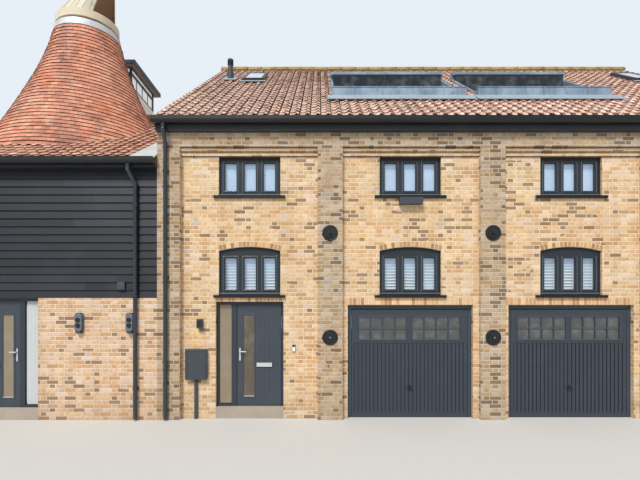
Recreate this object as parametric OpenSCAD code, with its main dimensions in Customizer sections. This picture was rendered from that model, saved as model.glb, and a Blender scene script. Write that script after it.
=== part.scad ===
// Oast house: a brick range of four bays under pantiles, and a boarded wing that a round kiln rises from.
// X runs along the front, Y from front to back and Z up. The origin is on the ground, at the middle.

/* [Range walls] */
// Width of the recessed panel in a bay
panel_w = 2630; // [2600:10:3200]
// Width of a pier between two panels
pier_w = 475; // [400:5:600]
// Width of the pier at each end of the range
corner_w = 430; // [330:5:600]
// Depth from the face of the front piers to the face of the rear piers
depth = 10900; // [10700:50:12000]
// Thickness of the wall in a panel
panel_t = 215; // [205:5:330]
// How far the piers stand out of the panels
recess = 112; // [60:1:150]
// Thickness of the end walls
end_t = 215; // [200:5:330]
// Height of one brick course
course = 76; // [70:1:80]
// Height of the underside of the corbels over the panels
panel_head = 5060; // [5055:5:5100]
// Height of the walls of the ground storey
storey_1 = 2330; // [2300:5:2400]

/* [Floors] */
// Height of the floor in the entrances above the ground
house_floor = 220; // [100:5:300]
// Thickness of the garage slab
garage_slab = 40; // [20:5:80]
// Height of the first floor above the walls of the ground storey
first_floor_up = 20; // [5:5:40]
// Thickness of the first floor
first_floor_t = 120; // [100:5:160]
// Height of the second floor
second_floor = 4150; // [4000:10:4250]
// Height of the attic floor above the range's eaves
attic_up = 730; // [600:10:800]
// Thickness of the second floor and the attic floor
floor_t = 150; // [100:10:250]

/* [Roofs] */
// Pitch of the range's roof
range_pitch = 35.5; // [33:0.5:40]
// Height of the tile edge at the range's eaves
range_eaves = 5720; // [5700:5:5900]
// Pitch of the wing's roof
wing_pitch = 30; // [28:0.5:34]
// Height of the tile edge at the wing's eaves
wing_eaves = 4960; // [4900:5:5100]
// How far the tiles reach past the walls at the eaves
overhang = 120; // [110:5:160]
// Thickness of the tile layer
tile_t = 60; // [40:5:90]
// Thickness of the rafters and the boards on them
rafter_t = 150; // [100:5:200]
// How far the range's roof reaches over the wing's roof at the verge
verge = 40; // [10:5:80]
// Distance from the wall to the front of the fascia
fascia_out = 100; // [80:5:105]
// Thickness of fascias and soffits
board_t = 25; // [18:1:30]
// Height of the range's fascia
fascia_h = 245; // [180:5:260]
// Height of the wing's fascia
wing_fascia_h = 175; // [175:5:220]
// Radius of the ridge tiles
ridge_r = 130; // [100:5:160]
// Width of the gutters
gutter_w = 125; // [100:5:150]
// Diameter of the downpipes
pipe_d = 76; // [60:1:90]
// Width of the lead gutter between the wing's tiles and the range
lead_gutter_w = 480; // [300:10:600]
// Thickness of lead sheet and the boards under it
lead_t = 25; // [15:1:40]

/* [Roof terraces] */
// Width of a terrace
terrace_w = 3000; // [2600:10:3060]
// Distance from the middle of the second bay to the middle of its terrace
terrace_1_off = 35; // [0:5:60]
// Distance from the middle of the third bay to the middle of its terrace
terrace_2_off = 200; // [100:5:220]
// Distance from the wall to the front of a terrace
terrace_front = 1435; // [1400:5:1600]
// Distance from the wall to the glazed back of a terrace
terrace_back = 3300; // [3000:10:3500]
// Height of the lead kerb at the front of a terrace above the range's eaves
kerb_up = 1380; // [1330:5:1450]
// Thickness of the kerbs and cheeks
kerb_t = 60; // [40:5:100]
// Height of the head of the glazed back above the range's eaves
screen_up = 2640; // [2620:5:2700]
// Thickness of the lead roof over the glazed back
screen_roof_t = 80; // [50:5:120]
// Depth of the frames of the glazed back
screen_d = 70; // [50:5:100]

/* [Rooflights and vent] */
// Width of a rooflight
rooflight_w = 560; // [450:10:780]
// Length of a rooflight up the slope
rooflight_l = 1180; // [900:10:1400]
// Distance from the wall to the lower edge of a rooflight
rooflight_y = 3340; // [3000:10:3600]
// Distance from the middle of the first bay to the middle of its rooflight
rooflight_off = 450; // [200:10:560]
// Distance from the middle of the last bay to the middle of its rooflight
rooflight_2_off = 825; // [200:5:900]
// How far a rooflight stands out of the tiles
rooflight_up = 50; // [30:5:90]
// Height of the vent pipe above the tiles
vent_h = 520; // [300:10:700]
// Diameter of the vent pipe
vent_d = 125; // [90:5:160]

/* [Windows] */
// Width of a window
window_w = 1190; // [1000:10:1300]
// Height of the top of the upper sills
upper_sill = 4300; // [4280:5:4400]
// Height of the upper windows
upper_h = 750; // [650:10:755]
// Height of the top of the lower sills
lower_sill = 2380; // [2375:5:2500]
// Height of the sides of the lower windows
lower_h = 857; // [700:1:900]
// Rise of the brick arch over a lower window
arch_rise = 78; // [40:1:120]
// Depth of the brick arch over a lower window
arch_ring = 102; // [90:1:150]
// Height of the top of the ground storey's rear sills
ground_sill = 1100; // [900:10:1300]
// Distance from the face of a panel to a window's frame
frame_in = 60; // [40:1:70]
// Depth of a window's frame
frame_d = 70; // [50:1:75]
// Width of a window's frame seen from the front
frame_w = 90; // [60:1:110]
// Width of the bars between a window's panes
mullion_w = 115; // [70:1:130]
// Thickness of glass
glass_t = 6; // [4:1:10]
// Thickness of the sills
sill_t = 50; // [30:1:70]
// How far a sill stands out of the panel
sill_out = 45; // [25:1:60]
// How far a sill runs past the window on each side
sill_horn = 95; // [50:1:150]
// Distance from the glass to the shutters
shutter_gap = 30; // [15:1:40]
// Thickness of the shutters
shutter_t = 22; // [15:1:30]

/* [Garage doors] */
// Width of the opening in the brickwork
garage_w = 2420; // [2200:10:2500]
// Depth of the soldier course over a garage door
soldier_h = 140; // [130:1:215]
// Bearing of a soldier course beside the opening
soldier_end = 55; // [30:5:70]
// Distance from the face of a panel to the garage frame
garage_in = 83; // [60:1:100]
// Width of the garage frame seen from the front
garage_frame_w = 75; // [50:1:100]
// Depth of the garage frame
garage_frame_d = 60; // [50:1:80]
// Thickness of a garage leaf
leaf_t = 40; // [30:1:50]
// Clearance at the sides of a garage leaf
leaf_side_gap = 6; // [5:1:12]
// Clearance over a garage leaf
leaf_top_gap = 13; // [12:1:20]
// Clearance under a garage leaf
leaf_foot_gap = 10; // [6:1:20]
// Distance from a leaf's back to the roller spindle
spindle_back = 45; // [44:1:60]
// Distance from a leaf's top edge down to the roller spindle
spindle_down = 40; // [30:1:60]
// Diameter of the roller spindle
spindle_d = 20; // [14:1:24]
// Diameter of the rollers
roller_d = 36; // [28:1:38]
// Length of the tracks for the rollers
track_l = 1560; // [1450:10:1800]
// Radial clearance of pins in their bores
pin_gap = 0.05; // [0.02:0.01:0.1]

/* [Entrances] */
// Width of an entrance with its sidelight
entrance_w = 1310; // [1250:5:1400]
// Height of the head of the range's entrances
entrance_head = 2255; // [2200:5:2270]
// Distance from the face of the wall to an entrance's frame
entrance_in = 78; // [60:1:100]
// Width of an entrance's frame seen from the front
entrance_frame_w = 45; // [35:1:60]
// Width of the post between the door and the sidelight
entrance_post_w = 90; // [60:1:110]
// Depth of an entrance's frame
entrance_frame_d = 70; // [60:1:90]
// Width of a door leaf
door_w = 857; // [760:1:900]
// Thickness of a door leaf
door_t = 44; // [40:1:60]
// Clearance round a door leaf
door_gap = 8; // [8:1:12]
// Distance from the back of an entrance's frame to the hinge pins
hinge_back = 12; // [12:1:18]
// Diameter of the hinge pins
hinge_pin_d = 10; // [8:1:12]
// Diameter of the hinge knuckles
knuckle_d = 18; // [16:1:20]
// Width of the glass strip in a door leaf
strip_w = 210; // [150:5:260]
// Height of the glass strip in a door leaf
strip_h = 1590; // [1200:10:1650]
// Distance from the lock edge of a leaf to its glass strip
strip_edge = 125; // [110:5:160]
// Height of the lever handle above the foot of the leaf
lever_up = 1000; // [850:10:1100]
// Width of the letter plate
letter_w = 300; // [220:5:330]

/* [Fittings on the walls] */
// Radius of the pattress plates
plate_r = 148; // [100:1:170]
// Height of the lower pattress plates
plate_low = 1570; // [1400:10:1800]
// Height of the upper pattress plates
plate_high = 3560; // [3400:10:3900]
// Size of the meter box across, out and up
meter_box = [410, 90, 580];
// Height of the foot of the meter box
meter_z = 760; // [600:10:900]

/* [Wing] */
// Width of the wing
wing_w = 6200; // [5900:10:7000]
// Height of the wing's brick base
base_h = 2320; // [2300:5:2400]
// Thickness of the wing's brick base
base_t = 215; // [205:5:330]
// Height of one board that shows
board_h = 152; // [120:1:180]
// How far the foot of a board stands out of its top
board_lap = 22; // [12:1:30]
// Thickness of the frame wall behind the boards
stud_t = 150; // [100:5:180]
// Distance from the wing's right end to the middle of its entrance
wing_door_x = 2920; // [2700:10:3200]

/* [Kiln] */
// Outer radius of the kiln's round wall
kiln_r = 2250; // [2150:10:2300]
// Thickness of the kiln's round wall
kiln_t = 225; // [180:5:330]
// Distance from the ridge to the kiln's axis
kiln_back = 2200; // [2150:10:2300]
// Height of the foot of the cone
cone_foot = 5700; // [5650:10:5800]
// Radius of the cone at its foot
cone_foot_r = 2320; // [2290:10:2360]
// Height of the top of the cone
cone_top = 9220; // [9000:10:9400]
// Radius of the cone at its top
cone_top_r = 800; // [780:5:900]
// Thickness of the cone, measured level
cone_t = 180; // [120:5:200]
// Height of one course of plain tiles
tile_gauge = 100; // [90:1:120]
// How far the foot of a tile course stands out
tile_step = 14; // [8:1:20]
// Height of the lead collar on the cone
collar_h = 180; // [120:5:250]

/* [Cowl] */
// Outer radius of the cowl's curb
curb_r = 755; // [700:5:780]
// Height of the cowl's curb
curb_h = 190; // [120:5:250]
// Thickness of the curb
curb_t = 55; // [40:1:70]
// Height of the cowl above its curb
cowl_h = 1690; // [1400:10:2000]
// How far the top of the cowl leans towards its mouth
cowl_lean = 600; // [450:10:620]
// Radius of the top of the cowl
cowl_top_r = 120; // [90:5:160]
// Thickness of the cowl's boards
cowl_t = 25; // [20:1:35]
// Distance from the axis to the foot of the cowl's mouth
mouth_foot = 430; // [380:10:500]
// Distance from the axis to the top of the cowl's mouth
mouth_top = 665; // [640:5:700]
// Diameter of the spindle that the cowl turns on
cowl_pin_d = 100; // [70:2:120]

/* [Lantern] */
// Width of the lantern
lantern_w = 1800; // [1200:10:2000]
// Depth of the lantern
lantern_d = 1700; // [1200:10:1740]
// Distance from the wing's right end to the lantern
lantern_x = 2545; // [2400:5:2700]
// Height of the lantern's white walls above the wing's ridge
lantern_wall_up = 505; // [400:5:650]
// Height of the lantern's glazing
lantern_glass_h = 610; // [450:10:700]
// Thickness of the lantern's roof
lantern_roof_t = 120; // [80:5:150]
// How far the lantern's roof overhangs
lantern_eaves = 165; // [80:5:200]
// Thickness of the lantern's walls
lantern_t = 90; // [60:5:110]

/* [Hidden] */
$fn = 64;
eps = 1;

// Places along the front
bays = 4;
bay_pitch = panel_w + pier_w;
range_w = 2 * corner_w + bays * panel_w + (bays - 1) * pier_w;
total_w = wing_w + range_w;
x_left = -total_w / 2;
x_join = x_left + wing_w;
x_right = total_w / 2;
y_face = -depth / 2;
wall_t = recess + panel_t;
function panel_x(i) = x_join + corner_w + i * bay_pitch;
function panel_mid(i) = panel_x(i) + panel_w / 2;
function pier_mid(i) = panel_x(i) - pier_w / 2;
range_mid = pier_mid(2);
attic_floor = range_eaves + attic_up;
kerb_top = range_eaves + kerb_up;
screen_head = range_eaves + screen_up;
house_bays = [0, 3];
garage_bays = [1, 2];

// Heights of the roof planes, at a distance from the ridge
eaves_run = depth / 2 + overhang;
rafter_run = depth / 2 + fascia_out - board_t;
high = range_eaves + depth;
function under_tiles(run, eaves, pitch) = eaves + (eaves_run - run) * tan(pitch);
function tile_top(run, eaves, pitch) = under_tiles(run, eaves, pitch) + tile_t / cos(pitch);
function under_rafters(run, eaves, pitch) = under_tiles(run, eaves, pitch) - rafter_t / cos(pitch);
function range_top(run) = tile_top(run, range_eaves, range_pitch);
function wing_top(run) = tile_top(run, wing_eaves, wing_pitch);

lantern_sill = wing_top(0) + lantern_wall_up;
lantern_head = lantern_sill + lantern_glass_h;
seat_gap = 0.1;

// Brick details
corbel_out = recess / 3;
garage_head = storey_1 - soldier_h;
arch_r = (pow(window_w / 2, 2) + pow(arch_rise, 2)) / (2 * arch_rise);
arch_skew = asin(window_w / 2 / arch_r);

// Garage doors
garage_leaf_w = garage_w - 2 * garage_frame_w - 2 * leaf_side_gap;
garage_leaf_h = garage_head - garage_frame_w - leaf_top_gap - leaf_foot_gap;
garage_y = y_face + recess + garage_in;
spindle_y = garage_y + leaf_t + spindle_back;
spindle_z = leaf_foot_gap + garage_leaf_h - spindle_down;
first_floor = storey_1 + first_floor_up;
track_x = garage_leaf_w / 2 + 12;
track_wall = 4;
roller_w = 20;
roller_play = 0.3;
lug_w = 14;
lug_inset = 110;
panes_across = 4;
panes_up = 2;
pane_group_w = 925;
pane_group_h = 430;
pane_group_z = 1525;
pane_bar = 24;
rib_pitch = 76;
rib_depth = 8;
rib_top = 1450;

// Entrances
door_leaf_x = entrance_w / 2 - entrance_frame_w - door_gap - door_w;
door_in = 10;
knuckle_h = 30;
lever_z = house_floor + door_gap + lever_up;
wing_lamps_x = [1510, 545];
hinge_x = door_leaf_x + door_w + door_gap / 2;
hinge_y = entrance_frame_d + hinge_back;
hinge_heights = [0.12, 0.5, 0.88];

// Kiln
kiln_x = x_left + wing_w / 2;
kiln_axis = [kiln_x, -kiln_back, 0];
kiln_segments = 12;
segment_joint = 2;
joint_angle = segment_joint / kiln_r * 180 / PI;
kiln_doorway_h = 2100;
cone_belly_r = 990;
cone_belly_z = cone_foot + 0.696 * (cone_top - cone_foot);
cone_courses = round((cone_top - cone_foot) / tile_gauge);
function bezier(a, b, c, t) = a * pow(1 - t, 2) + b * 2 * t * (1 - t) + c * pow(t, 2);
function cone_point(t) = bezier([cone_foot_r, cone_foot], [cone_belly_r, cone_belly_z],
    [cone_top_r, cone_top], t);

// Cowl
collar_top = cone_top + collar_h;
beam_h = 60;
curb_z = collar_top + beam_h + 10;
cowl_z = curb_z + curb_h;
cowl_r = curb_r - 15;
cowl_pin_top = cowl_z + 0.44 * cowl_h;
hub_wall = 32;
post_d = 50;
boards_slope = (cowl_r + cowl_lean - cowl_top_r) / cowl_h;
post_off = cowl_r - cowl_t * 2 - post_d * 0.7;
function post_x(z) = -post_off + (z - cowl_z) * boards_slope;

// A wall of piers and panels, standing from one height to another
module pier_wall(z0, z1) {
    translate([x_join, y_face + recess, z0]) cube([range_w, panel_t, z1 - z0]);
    for (x = [x_join, x_right - corner_w]) translate([x, y_face, z0]) cube([corner_w, wall_t, z1 - z0]);
    for (i = [1:bays - 1])
        translate([pier_mid(i) - pier_w / 2, y_face, z0]) cube([pier_w, wall_t, z1 - z0]);
}

// The stepped brick courses that close the panels at their heads, and the flush wall over them
module corbelled_head() {
    for (step = [1:2]) translate([x_join, y_face + recess - step * corbel_out, panel_head + (step - 1) * course])
        cube([range_w, panel_t + step * corbel_out, course + eps]);
    translate([x_join, y_face, panel_head + 2 * course])
        cube([range_w, wall_t, high - panel_head - 2 * course]);
}

// Everything that lies over the rafters' underside of a roof, between two places along X
module over_rafters(x0, x1, eaves, pitch) {
    w = eaves_run * 2;
    translate([x0, 0, 0]) rotate([90, 0, 90]) linear_extrude(x1 - x0)
        polygon([
            [-w, under_rafters(w, eaves, pitch)],
            [0, under_rafters(0, eaves, pitch)],
            [w, under_rafters(w, eaves, pitch)],
            [w, high * 2],
            [-w, high * 2]
        ]);
}

// Outline of a window opening, with an arched head where it has a rise
module window_outline(w, h, rise, inset = 0) {
    r = rise > 0 ? (pow(w / 2, 2) + pow(rise, 2)) / (2 * rise) : 0;
    if (rise > 0) intersection() {
        translate([0, h + rise - r]) circle(r = r - inset, $fn = 180);
        translate([-w / 2 + inset, inset]) square([w - 2 * inset, h + rise]);
    } else translate([-w / 2 + inset, inset]) square([w - 2 * inset, h - 2 * inset]);
}

// Stands an outline up in a wall, from a distance behind the front plane to a thickness
module upright(x, y, z, thickness) {
    translate([x, y + thickness, z]) rotate([90, 0, 0]) linear_extrude(thickness) children();
}

module window_hole(x, sill, h) {
    upright(x, y_face - eps, sill - sill_t, wall_t + 2 * eps) window_outline(window_w, h + sill_t, 0);
}

// The sector under an arch's outer curve, with its point at the middle of the curve
module arch_sector() {
    intersection() {
        circle(r = arch_r + arch_ring, $fn = 180);
        polygon([
            [0, 0],
            [-2 * arch_r * sin(arch_skew), 2 * arch_r * cos(arch_skew)],
            [2 * arch_r * sin(arch_skew), 2 * arch_r * cos(arch_skew)]
        ]);
    }
}

module arch_outline() {
    difference() {
        arch_sector();
        circle(r = arch_r, $fn = 180);
    }
}

// A lower window's opening together with the arch over it
module arched_hole() {
    centre_up = lower_h + arch_rise - arch_r;
    upright(0, y_face - eps, lower_sill, wall_t + 2 * eps) {
        translate([-window_w / 2, -sill_t]) square([window_w, lower_h + sill_t]);
        intersection() {
            translate([0, centre_up]) arch_sector();
            translate([-window_w, 0]) square([2 * window_w, 2 * lower_h]);
        }
    }
}

module arch_place(x) {
    upright(x, y_face + recess, lower_sill + lower_h + arch_rise - arch_r, panel_t) children();
}

module window_frame(x, sill, h, rise) {
    light_w = (window_w - 2 * frame_w - 2 * mullion_w) / 3;
    upright(x, y_face + recess + frame_in, sill, frame_d) difference() {
        window_outline(window_w, h, rise);
        intersection() {
            window_outline(window_w, h, rise, frame_w);
            for (i = [-1:1]) translate([i * (light_w + mullion_w) - light_w / 2, 0])
                square([light_w, h + rise + eps]);
        }
    }
}

module window_pane(x, sill, h, rise) {
    upright(x, y_face + recess + frame_in + frame_d, sill, glass_t)
        window_outline(window_w, h, rise);
}

module window_shutter(x, sill, h, rise) {
    upright(x, y_face + recess + frame_in + frame_d + glass_t + shutter_gap, sill, shutter_t)
        window_outline(window_w, h, rise);
}

module window_sill(x, sill) {
    translate([x - window_w / 2, y_face + recess - eps, sill - sill_t])
        cube([window_w, frame_in + frame_d + glass_t + eps, sill_t]);
    translate([x - window_w / 2 - sill_horn, y_face + recess - sill_out, sill - sill_t])
        cube([window_w + 2 * sill_horn, sill_out, sill_t]);
}

module each_bay() {
    for (i = [0:bays - 1]) translate([panel_mid(i), 0, 0]) children();
}

module each_house() {
    for (side = [0, 1]) translate([range_mid, 0, 0]) mirror([side, 0, 0]) translate([-range_mid, 0, 0])
        children();
}

module at_rear() {
    mirror([0, 1, 0]) children();
}

// Openings of the ground storey, from the ground up
module ground_openings() {
    for (i = garage_bays) translate([panel_mid(i), y_face - eps, 0]) {
        translate([-garage_w / 2, 0, -eps]) cube([garage_w, wall_t + 2 * eps, storey_1 + 2 * eps]);
        translate([-garage_w / 2 - soldier_end, 0, garage_head])
            cube([garage_w + 2 * soldier_end, wall_t + 2 * eps, soldier_h + eps]);
    }
    for (i = house_bays) translate([panel_mid(i) - entrance_w / 2, y_face - eps, -eps])
        cube([entrance_w, wall_t + 2 * eps, storey_1 + 2 * eps]);
}

module range_front_lower_wall() {
    color([0.76, 0.63, 0.43]) difference() {
        pier_wall(0, storey_1);
        ground_openings();
    }
}

module upper_wall_body(foot) {
    difference() {
        union() {
            pier_wall(foot, high);
            corbelled_head();
        }
        over_rafters(x_join - eps, x_right + eps, range_eaves, range_pitch);
        each_bay() {
            window_hole(0, upper_sill, upper_h);
            arched_hole();
        }
    }
}

module range_front_upper_wall() {
    color([0.78, 0.65, 0.45]) upper_wall_body(storey_1);
}

module range_rear_wall() {
    color([0.76, 0.63, 0.43]) at_rear() difference() {
        upper_wall_body(0);
        each_bay() window_hole(0, ground_sill, upper_h);
    }
}

module end_wall(x, eaves, pitch, inset) {
    difference() {
        translate([x, y_face + inset, 0]) cube([end_t, depth - 2 * inset, high]);
        over_rafters(x - eps, x + end_t + eps, eaves, pitch);
    }
}

module range_gable_wall() {
    color([0.74, 0.60, 0.42]) end_wall(x_join, range_eaves, range_pitch, wall_t + seat_gap);
}

module range_party_wall() {
    color([0.74, 0.60, 0.42]) end_wall(x_right - end_t, range_eaves, range_pitch, wall_t + seat_gap);
}

module opening_lintels() {
    color([0.72, 0.56, 0.38]) {
        for (i = garage_bays)
            translate([panel_mid(i) - garage_w / 2 - soldier_end, y_face + recess, garage_head])
                cube([garage_w + 2 * soldier_end, panel_t, soldier_h]);
        for (i = house_bays) translate([panel_mid(i) - entrance_w / 2, y_face + recess, entrance_head])
            cube([entrance_w, panel_t, storey_1 - entrance_head]);
    }
}

module window_arches() {
    color([0.66, 0.44, 0.30]) each_bay() {
        arch_place(0) arch_outline();
        at_rear() arch_place(0) arch_outline();
    }
}

module entrance_thresholds() {
    color([0.70, 0.68, 0.63]) {
        for (i = house_bays) translate([panel_mid(i) - entrance_w / 2, y_face + recess, 0])
            cube([entrance_w, panel_t, house_floor]);
        translate([x_join - wing_door_x - entrance_w / 2, y_face, 0])
            cube([entrance_w, base_t, house_floor]);
    }
}

module ground_slabs() {
    room_y = y_face + wall_t;
    room_d = depth - 2 * wall_t;
    color([0.62, 0.62, 0.60]) {
        each_house() translate([x_join + end_t, room_y, 0])
            cube([pier_mid(1) - x_join - end_t, room_d, house_floor]);
        translate([pier_mid(1), room_y, 0]) cube([2 * bay_pitch, room_d, garage_slab]);
        difference() {
            translate([x_left + end_t, y_face + base_t, 0])
                cube([wing_w - end_t, depth - 2 * base_t, house_floor]);
            translate(kiln_axis) difference() {
                translate([0, 0, -eps]) cylinder(r = kiln_r + 3 * seat_gap, h = house_floor + 2 * eps);
                translate([0, 0, -2 * eps])
                    cylinder(r = kiln_r - kiln_t - 3 * seat_gap, h = house_floor + 4 * eps);
            }
        }
    }
}

module range_floor(top, thickness, half_depth) {
    translate([x_join + end_t, -half_depth, top - thickness])
        cube([range_w - 2 * end_t, 2 * half_depth, thickness]);
}

module range_floors() {
    attic_run = eaves_run - (attic_floor - range_eaves + rafter_t / cos(range_pitch)) / tan(range_pitch);
    color([0.70, 0.60, 0.45]) {
        range_floor(first_floor, first_floor_t, depth / 2 - wall_t);
        range_floor(second_floor, floor_t, depth / 2 - wall_t);
        range_floor(attic_floor, floor_t, attic_run);
    }
}

// The front slope of a roof, as an extrusion of its section
module roof_slope(x0, x1, eaves, pitch) {
    translate([x0, 0, 0]) rotate([90, 0, 90]) linear_extrude(x1 - x0) polygon([
        [-eaves_run, eaves],
        [-eaves_run, tile_top(eaves_run, eaves, pitch)],
        [0, tile_top(0, eaves, pitch)],
        [0, under_rafters(0, eaves, pitch)],
        [-rafter_run, under_rafters(rafter_run, eaves, pitch)],
        [-rafter_run, under_tiles(rafter_run, eaves, pitch)]
    ]);
}

function terrace_mid(i) = panel_mid(i) + (i == garage_bays[0] ? terrace_1_off : terrace_2_off);

// The shaft of a terrace, cut straight down through the roof
module terrace_shaft(grow = 0) {
    for (i = garage_bays) translate([terrace_mid(i) - terrace_w / 2 + grow, y_face + terrace_front + grow, 0])
        cube([terrace_w - 2 * grow, terrace_back - terrace_front - grow, high]);
}

// Places a child on the slope of the range's roof, at a distance behind the wall
module on_slope(x, y_in) {
    translate([x, y_face + y_in, range_top(depth / 2 - y_in)]) rotate([range_pitch, 0, 0]) children();
}

module each_rooflight() {
    on_slope(panel_mid(0) - rooflight_off, rooflight_y) children();
    on_slope(panel_mid(bays - 1) + rooflight_2_off, rooflight_y) children();
}

module range_roof_front() {
    color([0.75, 0.46, 0.34]) difference() {
        roof_slope(x_join - verge, x_right, range_eaves, range_pitch);
        terrace_shaft();
        each_rooflight() translate([-rooflight_w / 2, 0, -tile_t - rafter_t - 200])
            cube([rooflight_w, rooflight_l, tile_t + rafter_t + 400]);
    }
}

module range_roof_rear() {
    color([0.73, 0.45, 0.34])
        at_rear() roof_slope(x_join - verge, x_right, range_eaves, range_pitch);
}

// A run of half-round tiles over a ridge
module ridge(x0, x1, eaves, pitch) {
    difference() {
        translate([x0, 0, tile_top(0, eaves, pitch) - ridge_r * 0.55]) rotate([0, 90, 0])
            cylinder(r = ridge_r, h = x1 - x0);
        roof_core(x0 - eps, x1 + eps, eaves, pitch);
    }
}

module ridge_tiles() {
    lantern_x1 = x_join - lantern_x;
    color([0.70, 0.48, 0.33]) {
        ridge(x_join - verge, x_right, range_eaves, range_pitch);
        ridge(x_left, lantern_x1 - lantern_w, wing_eaves, wing_pitch);
        ridge(lantern_x1, x_join, wing_eaves, wing_pitch);
    }
}

// The space under both slopes of a roof
module roof_core(x0, x1, eaves, pitch) {
    translate([x0, 0, 0]) rotate([90, 0, 90]) linear_extrude(x1 - x0) polygon([
        [-eaves_run, tile_top(eaves_run, eaves, pitch)],
        [0, tile_top(0, eaves, pitch)],
        [eaves_run, tile_top(eaves_run, eaves, pitch)]
    ]);
}

// A fascia with the soffit behind it
module eaves_box(x0, x1, top, h) {
    translate([x0, y_face - fascia_out, top - h]) cube([x1 - x0, board_t, h]);
    translate([x0, y_face - fascia_out + board_t - eps, top - h])
        cube([x1 - x0, fascia_out - board_t + eps, board_t]);
}

module eaves_boards() {
    color([0.10, 0.11, 0.13]) for (side = [0, 1]) mirror([0, side, 0]) {
        eaves_box(x_join, x_right, range_eaves - 5, fascia_h);
        eaves_box(x_left, x_join, wing_eaves - 5, wing_fascia_h);
    }
}

// A half-round gutter with a flat back and closed ends
module gutter(x0, x1, top) {
    r = gutter_w / 2;
    wall = 5;
    translate([x0, y_face - fascia_out - r, top - r]) rotate([90, 0, 90]) {
        linear_extrude(x1 - x0) difference() {
            union() {
                circle(r = r);
                translate([-r, 0]) square([2 * r, r]);
            }
            circle(r = r - wall);
            translate([-r + wall, 0]) square([2 * r - 2 * wall, r + eps]);
        }
        for (x = [0, x1 - x0 - wall]) translate([0, 0, x]) linear_extrude(wall) union() {
            circle(r = r);
            translate([-r, 0]) square([2 * r, r]);
        }
    }
}

module gutters() {
    color([0.12, 0.13, 0.15]) for (side = [0, 1]) mirror([0, side, 0]) {
        gutter(x_join - verge, x_right, range_eaves - 12);
        gutter(x_left, x_join, wing_eaves - 12);
    }
}

// A round pipe from one point to another
module pipe(from, to, d) {
    run = to - from;
    length = norm(run);
    translate(from) rotate([0, acos(run[2] / length), atan2(run[1], run[0])]) cylinder(d = d, h = length);
}

// A downpipe: outlet, swan neck back to the wall, and a straight fall to the ground
module downpipe(x, shift, top) {
    out = y_face - fascia_out - gutter_w / 2;
    in = y_face - pipe_d / 2 - 12;
    neck = top - gutter_w;
    points = [
        [x, out, neck], [x, out, neck - 110], [x + shift, in, neck - 330], [x + shift, in, 30]
    ];
    for (i = [0:2]) pipe(points[i], points[i + 1], pipe_d);
    for (i = [1:2]) translate(points[i]) sphere(d = pipe_d * 1.12);
    for (z = [0.12, 0.48, 0.84]) translate([x + shift - pipe_d * 0.7, y_face - 14, z * neck])
        cube([pipe_d * 1.4, 14, 60]);
    for (z = [0.12, 0.48, 0.84]) translate([x + shift, in, z * neck]) cylinder(d = pipe_d + 14, h = 60);
}

module downpipes() {
    color([0.16, 0.17, 0.20]) for (side = [0, 1]) mirror([0, side, 0]) {
        downpipe(x_join + 175, 0, range_eaves - 12);
        downpipe(x_join - 485, 90, wing_eaves - 12);
    }
}

module roof_vent_pipe() {
    y_in = rooflight_y + 350;
    x = panel_mid(0) - rooflight_off - 680;
    foot = range_top(depth / 2 - y_in);
    color([0.30, 0.30, 0.33]) difference() {
        translate([x, y_face + y_in, foot - 100]) {
            cylinder(d = vent_d, h = vent_h + 100);
            cylinder(d = vent_d + 40, h = 290);
            translate([0, 0, vent_h + 40]) cylinder(d = vent_d + 30, h = 60);
        }
        roof_core(x - vent_d, x + vent_d, range_eaves, range_pitch);
    }
}

module rooflights() {
    border = 55;
    color([0.28, 0.32, 0.36]) each_rooflight() {
        difference() {
            translate([-rooflight_w / 2, 0, -tile_t]) cube([rooflight_w, rooflight_l, tile_t + rooflight_up]);
            translate([-rooflight_w / 2 + border, border, -tile_t - eps])
                cube([rooflight_w - 2 * border, rooflight_l - 2 * border, tile_t + rooflight_up - 12 + eps]);
        }
    }
}

// Kerbs, cheeks and the small roof over the glazed back of each terrace
module terrace_leadwork() {
    head_run = depth / 2 - terrace_back;
    top = screen_head + screen_roof_t;
    color([0.52, 0.57, 0.62]) for (i = garage_bays) {
        difference() {
            translate([terrace_mid(i) - terrace_w / 2, y_face + terrace_front, attic_floor])
                cube([terrace_w, terrace_back - terrace_front, high]);
            translate([terrace_mid(i) - terrace_w / 2 + kerb_t, y_face + terrace_front + kerb_t, 0])
                cube([terrace_w - 2 * kerb_t, terrace_back - terrace_front, high * 2]);
            translate([terrace_mid(i) - terrace_w, 0, 0]) rotate([90, 0, 90]) linear_extrude(2 * terrace_w)
                polygon([
                    [y_face, kerb_top],
                    [y_face + kerb_run(), kerb_top],
                    [-head_run, range_top(head_run) + lead_t],
                    [-head_run + eps, high * 2],
                    [y_face, high * 2]
                ]);
        }
        translate([terrace_mid(i) - terrace_w / 2, 0, 0]) rotate([90, 0, 90]) linear_extrude(terrace_w)
            polygon([
                [-head_run - screen_d, screen_head + seat_gap],
                [-head_run - screen_d, top],
                [-range_run(top) - 2 * seat_gap, top],
                [-head_run, range_top(head_run) + 2 * seat_gap],
                [-head_run, screen_head + seat_gap]
            ]);
    }
}

// Distance from the wall at which the lead on the cheeks rises past the front kerb
function kerb_run() = depth / 2 - range_run(kerb_top - lead_t);
// Distance from the ridge at which the tiles reach a height
function range_run(z) = eaves_run - (z - range_eaves - tile_t / cos(range_pitch)) / tan(range_pitch);

module terrace_screens() {
    lights = 4;
    bar = 60;
    inner_w = terrace_w - 2 * kerb_t;
    light_w = (inner_w - (lights + 1) * bar) / lights;
    light_h = screen_head - attic_floor - 2 * bar;
    color([0.22, 0.26, 0.30]) for (i = garage_bays)
        upright(terrace_mid(i) - inner_w / 2, y_face + terrace_back - screen_d, attic_floor, screen_d)
            difference() {
                square([inner_w, screen_head - attic_floor]);
                for (n = [0:lights - 1]) translate([bar + n * (light_w + bar), bar]) square([light_w, light_h]);
            }
}

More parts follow.
